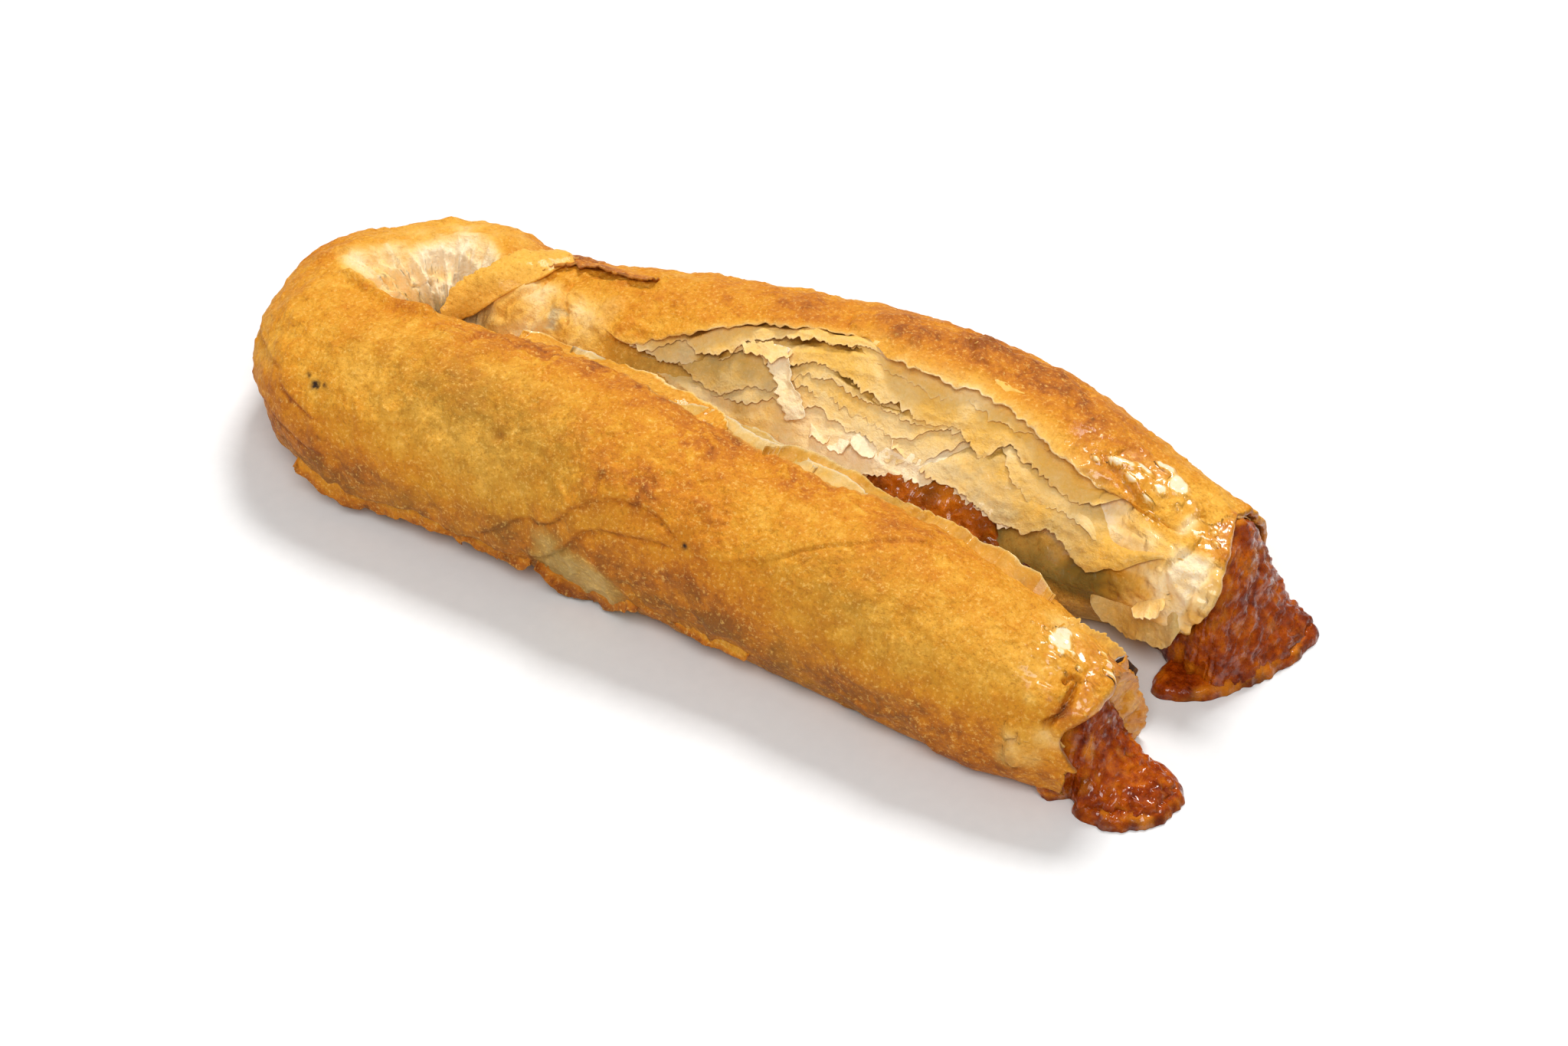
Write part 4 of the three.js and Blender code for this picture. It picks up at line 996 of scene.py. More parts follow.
JAMTOP = [(290, 0.86), (312, 0.86), (322, 0.82), (331.5, 0.745), (336.8, 0.715), (340.5, 0.70), (344.9, 0.69), (346, 0.66), (349.5, 0.637), (352.4, 0.685), (356.7, 0.685), (362.1, 0.72), (364.3, 0.80), (366.7, 0.86), (376, 0.92)]


def less(pts, dq):
    return [(a, b - dq) for a, b in pts]


def blend_pts(A, B, u, dq=0.0):
    """A line between two others, sampled at A's lengths."""
    return [(a, b + (float(curve(B, a)) - b) * u + dq) for a, b in A]


def looks_top(a, S, Q, V, N, w):
    a["pale"] += 0.15 * smooth(300, 272, S) - 0.14 * smooth(340, 370, S) + 0.08 * V
    a["toast"] += 0.04 * smooth(330, 370, S)
    a["glaze"] += smooth(352, 372, S) * smooth(-0.1, 0.25, N.fbm(w, 6, 2))
    # painted shade: olive along the root, under the crust's edge, and in the left pocket
    a["olive"] += 0.12 * smooth(0.40, 0.0, V) + 0.10 * smooth(286, 268, S)


def looks_wide(a, S, Q, V, N, w):
    a["pale"] += 0.25 * smooth(305, 280, S) - 0.05 * smooth(345, 375, S)
    # painted shade: olive along the root, under the edge above, and in the left pocket
    a["olive"] += 0.14 * smooth(0.30, 0.0, V) + 0.26 * smooth(300, 276, S) * (0.8 + 0.5 * N.fbm(w + 4, 8, 2))
    a["glaze"] += 0.8 * smooth(362, 382, S) * smooth(0.0, 0.3, N.fbm(w, 6, 2))


def looks_deep(a, S, Q, V, N, w):
    # painted shade: olive along the root, under the edge above, and in the left pocket
    a["olive"] += 0.06 * smooth(0.4, 0.0, V) + 0.42 * smooth(314, 286, S) * (0.8 + 0.5 * N.fbm(w + 4, 8, 2))


def looks_floor(a, S, Q, V, N, w):
    # painted shade: the left pocket is painted less pale and olive
    a["pale"] -= 0.42 * smooth(326, 304, S) * (0.8 + 0.6 * N.fbm(w + 14, 7, 2))
    a["olive"] += 0.30 * smooth(318, 292, S) * np.clip(0.7 + 1.3 * N.fbm(w + 4, 7, 3), 0, 2)


def looks_round(a, S, Q, V, N, w):
    a["pale"] += -0.26 * smooth(374, 394, S) + 0.16 * smooth(354, 344, S)
    # the first term is painted shade along the root, under the edge above
    a["olive"] += 0.05 * smooth(0.35, 0.0, V) + 0.26 * smooth(352, 372, S) * (1 - smooth(380, 394, S)) * smooth(0.6, 0.95, V)
    a["glaze"] += 0.5 * smooth(0.0, 0.4, N.fbm(w, 7, 2)) * smooth(0.3, 0.6, V)


# the burst flank, from the crust's edge down
# gaps: the edge above and places (length, width, depth) where the sheet below dips and is painted with shade
GAP1 = (E1, [(293, 3.4, 2.6), (301, 3.6, 2.4), (312, 3.2, 2.6), (283, 2.4, 1.8), (321.5, 2.0, 1.4)])
GAP2 = (E2, [(306, 3.6, 1.7), (315, 3.0, 1.7), (331, 3.6, 1.8), (339.5, 5.4, 2.6), (349.5, 3.2, 2.0), (287, 3.0, 1.8)])
GAP4 = (E4, [(302, 3.0, 1.0), (361, 5.0, 2.2), (328, 5.0, 1.0), (318, 3.0, 0.9)])
leaf("leaf_a", 1, 256, 388, less(E1, 0.13), E2, (0.30, 0.62), (-2.8, 0.05), cols=36, looks=looks_top, rag=0.5, curl=0.2, thick=0.2, wave=0.55, tone={"pale": 0.38, "toast": 0.10}, steps=0.15, gaps=GAP1, fade=(20, 14), tuck=1.8, meet=(322, 6.0))
leaf("leaf_b", 2, 262, 390, less(E2, 0.11), E4, (0.72, 0.86), (-2.2, 0.05), cols=44, looks=looks_wide, rag=0.6, curl=0.2, thick=0.2, wave=0.65, tone={"pale": 0.44, "toast": 0.12}, steps=0.2, gaps=GAP2, fade=(22, 14), tuck=1.8, meet=(-999, 1.0))
leaf("leaf_b2", 22, 306, 382, less(E2, 0.04), blend_pts(E2, E4, 0.55), (0.80, 0.80), (-0.9, 0.20), cols=20, looks=looks_wide, rag=0.8, curl=0.2, thick=0.18, wave=0.4, tone={"pale": 0.50, "toast": 0.10}, fade=(28, 28))
leaf("leaf_b3", 23, 350, 390, less(E2, 0.02), blend_pts(E2, E4, 0.35), (0.84, 0.84), (-0.8, 0.25), cols=20, looks=looks_wide, rag=1.0, curl=0.3, thick=0.18, wave=0.5, tone={"pale": 0.46, "toast": 0.12}, fade=(16, 22))
leaf("leaf_c", 3, 272, 362, less(E4, 0.10), E4B, (0.93, 0.94), (-2.0, 0.05), cols=28, looks=looks_deep, rag=0.6, curl=0.2, thick=0.2, wave=0.6, tone={"pale": 0.56, "olive": 0.06}, gaps=GAP4, fade=(20, 20), tuck=1.4)
leaf("leaf_c2", 13, 292, 352, less(E4B, 0.10), blend_pts(E4B, E6, 0.5), (1.0, 0.97), (-1.6, 0.0), cols=24, looks=looks_deep, rag=0.65, curl=0.2, thick=0.18, wave=0.5, tone={"pale": 0.54, "olive": 0.06}, fade=(20, 20), tuck=1.4)
leaf("leaf_d", 4, 276, 354, less(E4B, 0.08), E6, (1.0, 1.0), (-1.6, 0.0), cols=30, looks=looks_deep, rag=0.65, curl=0.25, thick=0.2, wave=0.6, tone={"pale": 0.64, "olive": 0.08}, fade=(22, 16), tuck=1.4)
leaf("leaf_e", 5, 270, 374, less(E6, 0.12), JAMTOP, (1.0, 1.0), (-1.8, 0.10), cols=34, looks=looks_floor, steps=0.25, rag=0.65, curl=0.25, thick=0.22, wave=0.8, tone={"pale": 0.92}, fade=(30, 14), tuck=1.6)
ROOT_F = [(338, 0.63), (341, 0.61), (344, 0.56), (348, 0.48), (352, 0.40), (357.5, 0.27)] + less([p for p in E4 if p[0] > 358], 0.12)
leaf("leaf_f", 6, 340, 400, ROOT_F, E7, (0.97, 0.80), (-2.2, 0.25), cols=42, looks=looks_round, rag=0.5, curl=0.25, thick=0.22, wave=0.7, tone={"pale": 0.50, "olive": 0.16, "toast": 0.10}, fade=(5, 12), steps=0.12, tuck=1.6, gaps=GAP4)
leaf("leaf_f2", 26, 352, 392, less(E4, 0.02), blend_pts(E4, E7, 0.45), (0.95, 0.86), (-0.9, 0.40), cols=26, looks=looks_round, rag=0.8, curl=0.35, thick=0.2, wave=0.6, tone={"pale": 0.56}, fade=(16, 22), tuck=1.4)


def looks_flap(a, S, F, V, N, w):
    a["toast"] += 0.5 * smooth(0.70, 1.0, V) * smooth(140, 118, np.degrees(F)) + 0.1 * smooth(100, 84, np.degrees(F)) + 0.16 * N.fbm(w, 4, 2)
    a["olive"] += 0.12 * smooth(146, 158, np.degrees(F))


def looks_lip(a, S, F, V, N, w):
    a["toast"] += 0.25 * smooth(0.3, 1.0, V) + 0.3 * N.fbm(w, 2.5, 2)
    a["char"] += 0.25 * smooth(0.85, 1.0, V)


def looks_flange(a, S, F, V, N, w):
    a["pale"] += 0.45 * smooth(0.88, 0.97, V + 0.10 * N.fbm(w, 3, 2))
    a["toast"] += 0.12 * N.fbm(w, 5, 2)


def looks_sheet(a, S, F, V, N, w):
    a["pale"] += 0.35 * N.fbm(w + 3, 5, 3) + 0.35 * smooth(0.88, 1.0, V)
    a["toast"] += 0.20 * N.fbm(w, 4, 3) + 0.12 * smooth(0.5, 0.1, V)
    a["olive"] += 0.22 * smooth(0.0, 0.4, N.fbm(w + 8, 8, 2))


def looks_skirt(a, S, F, V, N, w):
    a["toast"] += 0.35 * smooth(0.4, 1.0, V) + 0.25 * N.fbm(w + 2, 5, 3)
    a["char"] += 0.5 * smooth(0.2, 0.5, N.fbm(w + 9, 3.5, 2)) * smooth(0.7, 1.0, V)


FLAP_LO = [(219.6, 162), (230.7, 151), (233.9, 141.5), (236.7, 126.5), (239, 115.6), (241.4, 106), (243.1, 96), (244.2, 84), (246, 74)]
FLAP_UP = [(208.3, 160), (217.7, 139), (224.5, 128), (229.9, 115), (232.6, 100), (235, 88.5), (237.8, 79.7), (239.8, 70), (242, 62)]
LIP_UP = [(236.5, 84), (238.2, 72), (239.6, 58), (242, 50), (246, 50), (250, 53), (255.4, 61), (261.7, 71), (267, 76)]
LIP_LO = [(241.5, 104), (242.2, 95), (243.4, 88), (245, 84), (248, 82), (252, 81), (256.5, 83), (262.5, 87), (269, 89)]
patch("flap", 1, FLAP_LO, FLAP_UP, (-0.3, 0.9), rag=0.18, curl=0.25, wave=0.35, thick=0.7, cols=30, sag=0.9, tone={"toast": -0.04, "pale": 0.02, "glaze": 0.15}, looks=looks_flap, fade=0.08, mat=CRUST)
patch("lip", 2, LIP_UP, LIP_LO, (-0.3, 1.0), rag=0.6, curl=0.3, wave=0.5, thick=0.7, cols=34, tone={"toast": 0.56, "pale": 0.0}, looks=looks_lip, fade=0.10, mat=CRUST)
# the near leg's side of the split: torn thin sheets standing from under the crust's edge
def off_edge(lst, d):
    return [(s_, float(np.degrees(edge_phi(s_))) + d_) for s_, d_ in zip(lst, d)]


HOT = (90, 96, 104, 112, 120, 128, 136, 143)
patch("flange_hot", 5, off_edge(HOT, (-6,) * 8), off_edge(HOT, (5, 11, 16, 18, 18, 19, 16, 8)), (-0.8, 2.6), rag=1.1, curl=0.3, wave=1.0, cols=36, tone={"toast": 0.38, "pale": 0.0, "glaze": 0.25}, looks=looks_flange, fade=0.16, mat=CRUST)
THIN = (58, 66, 74, 82, 90, 98, 104)
patch("flange_thin", 6, off_edge(THIN, (-6,) * 7), off_edge(THIN, (8, 10, 8, 9, 11, 10, 6)), (-0.8, 1.6), rag=0.9, curl=0.4, wave=0.7, cols=20, tone={"toast": 0.26, "pale": 0.44, "olive": 0.28}, looks=looks_sheet, fade=0.2)
WIDE = (16, 24, 32, 40, 48, 56, 64, 72, 80)
patch("flange_wide", 15, off_edge(WIDE, (-6,) * 9), off_edge(WIDE, (0.5, 1, 1.5, 4, 11, 18, 20, 15, 8)), (-1.0, 2.6), rag=1.0, curl=0.5, wave=1.0, cols=28, tone={"toast": 0.36, "pale": 0.15, "glaze": 0.3, "olive": 0.26}, looks=looks_sheet, fade=0.16)
BACKS = (70, 80, 90, 100, 110, 120, 132)
patch("flange_back", 16, off_edge(BACKS, (-2,) * 7), off_edge(BACKS, (16, 22, 26, 28, 28, 24, 16)), (-1.6, 2.2), rag=1.2, curl=0.4, wave=1.0, cols=26, tone={"toast": 0.25, "pale": 0.46, "olive": 0.34}, looks=looks_sheet, fade=0.16)

# low on the outside of the near leg: loose browned scraps
patch("skirt_a", 7, [(172, -10), (160, -12), (150, -11), (140, -12), (128, -12), (118, -14)], [(172, -22), (162, -32), (152, -28), (142, -26), (130, -29), (118, -29)], (-0.5, 1.6), rag=1.4, curl=0.7, wave=1.1, cols=22,
      tone={"toast": 0.50, "pale": 0.0}, looks=looks_skirt, fade=0.10, mat=CRUST)
patch("skirt_b", 8, [(116, -14), (108, -16), (100, -18), (92, -18)], [(116, -31), (109, -43), (101, -39), (92, -27)], (-0.5, 1.7), rag=1.5, curl=0.8, wave=1.2, cols=20, tone={"toast": 0.62, "pale": 0.0}, looks=looks_skirt, fade=0.28, mat=CRUST)
patch("skirt_c", 9, [(84, -20), (76, -20), (66, -18)], [(84, -26), (76, -27), (66, -23)], (-0.4, 0.7), rag=1.2, curl=0.4, wave=0.9, cols=14, tone={"toast": 0.50, "pale": 0.0}, looks=looks_skirt, fade=0.2, mat=CRUST)

# scraps hanging over the layers
patch("strip_a", 10, [(298.6, 118), (299.6, 124), (300.8, 130), (303.2, 138), (305.2, 143), (307.2, 147)], [(303.0, 118), (304.3, 124), (305.2, 129), (307.0, 135), (309.4, 140), (311.6, 145)], (0.3, 0.8), d=(0.7, 0.85), rag=1.0, curl=0.6, wave=1.6, cols=18, step=0.3,
      tone={"toast": 0.0, "pale": 0.92}, fade=0.06, tuck=0.3, both=True)
patch("strip_b", 11, [(291, 121), (294, 119), (297, 117.5), (300, 117), (304, 119)], [(291.5, 123), (294.5, 124), (297.5, 124), (300, 126), (304, 125)], (0.2, 0.9), d=(0.62, 0.7), rag=0.9, curl=0.5, wave=1.0, cols=16, step=0.3, tone={"toast": 0.05, "pale": 0.56}, fade=0.3, tuck=0.7, both=True)
for _k, (_A, _B, _o) in enumerate([
    ([(317.5, 149), (319.3, 146.5), (321.2, 145), (323.0, 146.5)], [(318.4, 152.5), (320.2, 151.5), (322.2, 152), (324.0, 150)], (0.2, 1.0)),
    ([(323.6, 144), (325.6, 143.5), (327.6, 145), (329.6, 147)], [(324.0, 148.5), (326.0, 148), (328.0, 149.5), (330.4, 150)], (0.1, 0.9)),
    ([(312.5, 145.5), (315, 146.5), (318, 148)], [(313, 148), (315.5, 149.5), (318.4, 151)], (0.1, 0.6)),
    ([(333, 141), (337, 142), (340, 143)], [(333.5, 144), (337, 146), (340.5, 146)], (0.1, 0.6)),
]):
    patch(f"scrap_{_k}", 21 + _k, _A, _B, _o, d=(1, 0.97), rag=1.1, curl=0.8, wave=1.7, cols=14, step=0.25, tone={"toast": 0.0, "pale": (1.05, 1.0, 0.85, 0.7)[_k]}, fade=0.2, tuck=0.6, both=True)

# the far end: a loose low sheet beside the filling
patch("end_low", 32, [(386, 178), (391, 176), (395.5, 169), (399, 161), (402, 156), (405, 154)], [(386.5, 180), (390.5, 187), (395.5, 194), (400.5, 191), (404.5, 186), (406, 176)], (-1.2, 1.0), d=(1, 0.7), rag=1.3, curl=0.5, wave=1.2, cols=30,
      tone={"toast": 0.06, "pale": 0.50, "olive": 0.34}, fade=0.24, tuck=4.2)
patch("end_curl", 33, [(396.4, 169), (398.2, 163), (400.2, 157)], [(397.2, 173.5), (399.6, 168), (401.4, 160)], (-0.6, 2.2), d=(1, 0.9), rag=0.7, curl=0.7, wave=0.6, cols=18, tone={"toast": 0.08, "pale": 0.52}, fade=0.22)


def inside(s, f, r):
    """Point at share r of the way from the roll's middle to its skin."""
    s, f, r = np.broadcast_arrays(*(np.asarray(x, float) for x in (s, f, r)))
    c, _, _ = rail(s)
    h = table(ALONG, HEIGHT, s)
    m = np.concatenate([c, (0.44 * h)[..., None]], -1)
    return m + (point(s, f) - m) * r[..., None]


def wrap_leaf(name, k, a0, a1, root, tip, r, rag=0.6, curl=0.06, thick=0.35, cols=16, tone=None, looks=None, fade=0.12, mat=None):
    """A dough layer that shows at a cut end: an arc from angle a0 to a1, from length root inside to length tip, r the (root, tip) share of the radius."""
    N = Noise(700 + k)
    n = int(abs(a1 - a0) * 0.30 / 0.35) + 2
    t = np.linspace(0, 1, n)
    A = a0 + (a1 - a0) * t
    T = A * 0.28
    fin = smooth(0, fade, t) * (1 - smooth(1 - fade, 1, t))
    v = np.linspace(0, 1, cols)[None, :]
    end = (0.35 + 0.65 * np.sqrt(fin)) * 1.0 + torn(N, T, k, rag) / abs(tip - root)
    S = root + (tip - root) * v * end[:, None]
    V = np.broadcast_to(v, S.shape)
    w3 = np.stack([np.broadcast_to(T[:, None], S.shape), V * abs(tip - root), 0 * S + 3.3 * k], -1)
    r_ = r[0] + (r[1] - r[0]) * V + curl * (0.5 + 1.5 * N(zero_of(T, k + 20), 7.0))[:, None] * V**3 + 0.018 * N.fbm(w3, 5.0, 3) - 0.04 * (1 - fin)[:, None]
    P = inside(S, np.radians(A)[:, None], r_)
    if root > tip:
        P = P[::-1]
        S, V, w3 = S[::-1], V[::-1], w3[::-1]
        A = A[::-1]
    return finish_leaf(name, P, thick * (1 - 0.4 * V**3), S, V, w3, N, looks, tone, mat=mat, extra=np.broadcast_to(A[:, None], S.shape))


def looks_caramel(a, S, F, V, N, w):
    a["toast"] += 0.45 * smooth(0.3, 1.0, V) + 0.25 * N.fbm(w, 3, 2)
    a["glaze"] += 0.8 * smooth(0.3, 0.8, V)
    a["char"] += 0.25 * smooth(0.75, 1.0, V) * smooth(-0.1, 0.4, N.fbm(w + 7, 4, 2))


# near cut end: the layers that show behind the lip, on the valley side
wrap_leaf("near_wrap_a", 1, 84, 190, 12, 1.0, (0.95, 0.90), tone={"toast": 0.36, "pale": 0.0}, looks=looks_caramel, rag=0.6, mat=CRUST)
wrap_leaf("near_wrap_b", 2, 70, 170, 12, 0.4, (0.84, 0.80), tone={"toast": 0.40, "pale": 0.0}, looks=looks_caramel, rag=0.7, mat=CRUST)
wrap_leaf("near_wrap_c", 3, 100, 200, 12, -0.6, (0.90, 0.92), tone={"toast": 0.30, "pale": 0.05}, looks=looks_caramel, rag=0.8, mat=CRUST)
wrap_leaf("near_wrap_d", 4, -60, 30, 12, 1.6, (0.86, 0.84), tone={"toast": 0.30, "pale": 0.25}, looks=looks_caramel, rag=0.7, mat=CRUST)
# far cut end
wrap_leaf("far_wrap_a", 7, 20, 100, LENGTH - 20, LENGTH - 8.4, (0.88, 0.87), tone={"toast": 0.30, "pale": 0.10}, looks=looks_caramel, rag=0.7, mat=CRUST)


def end_flap(name, k, end_x, rows, thick=0.5, cols=22, rag=0.5, wave=0.5, mat=None, tone=None, looks=None):
    """A thin flap at a cut end, through rows of (root point, free point), each (mm past the end, y, z)."""
    N = Noise(800 + k)
    A, B = np.array([r[0] for r in rows], float), np.array([r[1] for r in rows], float)
    L = np.concatenate([[0], np.cumsum(np.linalg.norm(np.diff((A + B) / 2, axis=0), axis=1))])
    n = int(L[-1] / 0.35) + 2
    T = np.linspace(0, L[-1], n)
    a, b = (np.stack([table(L, M[:, i], T) for i in range(3)], -1) for M in (A, B))
    w = np.maximum(np.linalg.norm(b - a, axis=1), 0.5)
    v = np.linspace(0, 1, cols)[None, :]
    e = 1 + torn(N, T, k, rag) / w
    V = np.broadcast_to(v, (n, cols))
    P = a[:, None] + (b - a)[:, None] * (V * e[:, None])[..., None]
    w3 = np.stack([np.broadcast_to(T[:, None], V.shape), V * w[:, None], 0 * V + 2.1 * k], -1)
    P = P + normals(P) * (wave * N.fbm(w3, 4.0, 3))[..., None]
    P = P + np.array([end_x + SHIFT[0], SHIFT[1], 0.0])
    P[..., 2] = np.maximum(P[..., 2], 0.2)
    return finish_leaf(name, P, thick * (1 - 0.4 * V**3), w3[..., 0], V, w3, N, looks, tone, mat=mat)


def looks_amber(a, S, F, V, N, w):
    a["toast"] += 0.20 * N.fbm(w, 3, 3) + 0.15 * smooth(0.8, 1.0, V)
    a["char"] += 0.5 * smooth(0.25, 0.6, N.fbm(w + 5, 3.5, 2)) * smooth(0.8, 1.0, V)


# an amber sheet soaked with syrup on the near end's valley side, a torn rim over it, and a small burnt bit
end_flap("near_amber", 1, 78.5, [((-1, -13, 20), (1.5, -5, 22.5)), ((-1, -12.5, 16), (2.8, -3.4, 18)), ((-0.5, -12, 11), (4.0, -1.6, 12.5)), ((0, -11, 6), (5.0, -0.6, 7)), ((0.5, -10.5, 2), (5.4, -1.2, 2.4)), ((1, -10, 0.4), (5.0, -2.6, 0.5))],
         tone={"toast": 0.44, "pale": 0.0, "glaze": 0.7}, looks=looks_amber, thick=0.8, wave=1.9, rag=0.8, mat=CRUST)
end_flap("near_rim", 2, 78.5, [((-14, -12, 26), (-13, -8.2, 28.4)), ((-10, -11.5, 25.5), (-8.5, -6.6, 28.0)), ((-7, -10.5, 24.5), (-5, -5, 26.2)), ((-4, -9, 22.5), (-2, -3, 23.4)), ((-2, -7.5, 20), (0.2, -2.4, 20.2))],
         tone={"toast": 0.14, "pale": 0.25, "glaze": 0.5}, thick=0.5, wave=0.9, rag=0.9, mat=CRUST)
end_flap("near_burnt", 3, 78.5, [((-1.5, -6, 19.5), (0.8, -2.6, 20.0)), ((-1.0, -6, 17), (1.8, -1.6, 17)), ((-0.5, -5.5, 15), (2.2, -1.6, 14.6))], tone={"toast": 0.9, "pale": 0.0, "char": 0.9}, thick=0.7, wave=0.8, rag=0.9, mat=CRUST)


# ---- fruit filling -----------------------------------------------------------------------------------------------------------------------------------
def tongue(name, k, rows, end_x, lean, gold=0.8, deep=0.0, cols=96, step=0.28, lump=0.75):
    """Filling that ran out of a cut end: rows of (distance past the end, y, left, right, top)."""
    N = Noise(300 + k)
    xs = [r[0] for r in rows]
    fine = np.arange(xs[0] - 7.0, xs[-1] + 0.001, 0.02)
    cl = np.clip(fine, xs[0], xs[-1])
    tp = table(xs, [r[4] for r in rows], cl)
    run = np.concatenate([[0], np.cumsum(np.hypot(np.diff(fine), np.diff(tp)))])
    X = np.interp(np.arange(0, run[-1], step), run, fine)
    cl = np.clip(X, xs[0], xs[-1])
    y, lf, rt, tp = (table(xs, [r[i] for r in rows], cl) for i in (1, 2, 3, 4))
    inside = smooth(0, -5, X - xs[0])
    j = np.arange(cols) / cols * 2 * np.pi
    base = 0.0 + 9.0 * inside
    P = np.zeros((len(X), cols, 3))
    cj, sj = np.cos(j)[None, :], np.sin(j)[None, :]
    side = np.where(cj > 0, rt[:, None], lf[:, None])
    rag = 1 + 0.16 * N.fbm(np.stack([X[:, None] + 0 * cj, 9 * cj + 0 * X[:, None], 0 * cj + 0 * X[:, None]], -1), 4.0, 3) * (1 - inside[:, None])
    prof = np.abs(sj) ** 0.9
    P[..., 1] = y[:, None] + np.sign(cj) * np.abs(cj) ** 0.8 * side * rag
    up = np.where(sj > 0, (tp[:, None] - base[:, None]) * prof, 0) + base[:, None] * 1.0
    down = np.where(sj < 0, -np.minimum(base[:, None], 7) * np.abs(sj), 0)
    P[..., 2] = up + down
    P[..., 0] = end_x + X[:, None] + 0 * cj
    P[..., 0] += 0.0
    P[..., 0] -= lean * P[..., 2] * inside[:, None] * 0.0
    P[..., :2] += SHIFT
    n = normals(P, wrap=True)
    V = P.reshape(-1, 3)
    h = lump * (N.fbm(V, 5.5, 4, 0.6) * 2.2 + 1.0 * (0.5 - np.abs(N(V + 9, 3.2))) + 0.5 * (0.3 - np.abs(N(V + 19, 1.9))) + 0.40 * N(V, 1.2)).reshape(P.shape[:2])
    free = smooth(0.0, 1.2, P[..., 2]) * (1 - 0.7 * inside[:, None])
    P = P + n * (h * free)[..., None]
    P[..., 2] = np.maximum(P[..., 2], 0.05)
    R, C = P.shape[:2]
    tipn = smooth(3.0, 0.0, (X[-1] - X))[:, None] + 0 * cj
    rim = np.maximum(tipn, smooth(2.4, 0.2, P[..., 2])) * (1 - inside[:, None])
    dry = rim * (0.5 + 0.9 * N.fbm(V, 3.5, 3).reshape(R, C)) + deep * (0.7 + 1.2 * N.fbm(V + 33, 4.5, 3).reshape(R, C))
    verts = np.concatenate([P.reshape(-1, 3), P[0].mean(0)[None], P[-1].mean(0)[None]])
    jj = np.arange(C)
    kk = (jj + 1) % C
    caps = [np.stack([np.full(C, R * C), kk, jj], -1), np.stack([np.full(C, R * C + 1), (R - 1) * C + jj, (R - 1) * C + kk], -1)]
    amber = smooth(3.0, -1.0, X)[:, None] * smooth(0.0, 0.4, N.fbm(V + 60, 4.0, 3)).reshape(R, C) + gold * smooth(0.15, 0.5, N.fbm(V + 80, 5.0, 3)).reshape(R, C)
    o = build(name, verts, [quads(R, C, wrap=True)] + caps, JAM, {"dry": np.concatenate([dry.ravel(), [0, 1]]), "amber": np.concatenate([amber.ravel(), [0, 0]])})
    return keep(o, "filling")


def puddle(name, k, end_x, outline, centre, top, n_r=42, n_a=300, z0=2.4, lump=0.9):
    """Filling spread thin on the table: an outline of (x, y) points round a centre; top gives extra height near the cut end."""
    N = Noise(350 + k)
    O = np.array(outline, float)
    C = np.array(centre, float)
    ang = np.unwrap(np.arctan2(O[:, 1] - C[1], O[:, 0] - C[0]))
    if ang[-1] < ang[0]:
        ang, O = ang[::-1], O[::-1]
    rad = np.hypot(*(O - C).T)
    a = ang[0] + np.arange(n_a) / n_a * 2 * np.pi
    A3, R3 = np.concatenate([ang, ang + 2 * np.pi]), np.concatenate([rad, rad])
    r = np.interp(a, A3, R3)
    r = (np.roll(r, 1) + 2 * r + np.roll(r, -1)) / 4
    r = r * (1 + 0.05 * N.fbm(np.stack([12 * np.cos(a), 12 * np.sin(a), 0 * a], -1), 3.0, 3)) + 0.35 * N(np.stack([r * np.cos(a), r * np.sin(a), 0 * a], -1), 1.6)
    t = (np.arange(1, n_r + 1) / n_r) ** 0.85
    X = C[0] + t[:, None] * (r * np.cos(a))[None, :]
    Y = C[1] + t[:, None] * (r * np.sin(a))[None, :]
    edge = r[None, :] * (1 - t[:, None])
    Z = z0 * (1 - np.exp(-edge / 0.9)) ** 0.6 + top(X, Y) * (1 - np.exp(-edge / 2.5))
    w = np.stack([X, Y, Z], -1)
    Z = Z + lump * smooth(0.0, 2.0, edge) * (0.9 * N.fbm(w, 4.5, 4, 0.6) + 0.6 * np.abs(N(w + 9, 2.4)) + 0.22 * N(w + 5, 1.2))
    Z = np.maximum(Z, 0.12)
    top_v = np.stack([X, Y, Z], -1).reshape(-1, 3)
    mid = np.array([[C[0], C[1], float(Z[0].mean())]])
    low = np.stack([X[-1], Y[-1], 0 * X[-1] + 0.02], -1)
    V = np.concatenate([top_v, low, mid, [[C[0], C[1], 0.02]]])
    V[:, 0] += end_x + SHIFT[0]
    V[:, 1] += SHIFT[1]
    j = np.arange(n_a)
    q = (j + 1) % n_a
    nt = n_r * n_a
    faces = [quads(n_r, n_a, wrap=True, flip=True), np.stack([(n_r - 1) * n_a + j, nt + j, nt + q, (n_r - 1) * n_a + q], -1), np.stack([np.full(n_a, nt + n_a), j, q], -1), np.stack([np.full(n_a, nt + n_a + 1), nt + q, nt + j], -1)]
    dry = smooth(1.6, 0.1, edge) * (0.55 + 0.9 * N.fbm(w, 3.5, 3))
    amber = smooth(3.0, 1.0, edge) * smooth(-0.1, 0.3, N.fbm(w + 60, 5.0, 3)) + 0.7 * smooth(0.25, 0.5, N.fbm(w + 80, 5.0, 3))
    o = build(name, V, faces, JAM, {"dry": np.concatenate([dry.ravel(), np.ones(n_a), [0, 1]]), "amber": np.concatenate([amber.ravel(), np.zeros(n_a + 2)])})
    return keep(o, "filling")


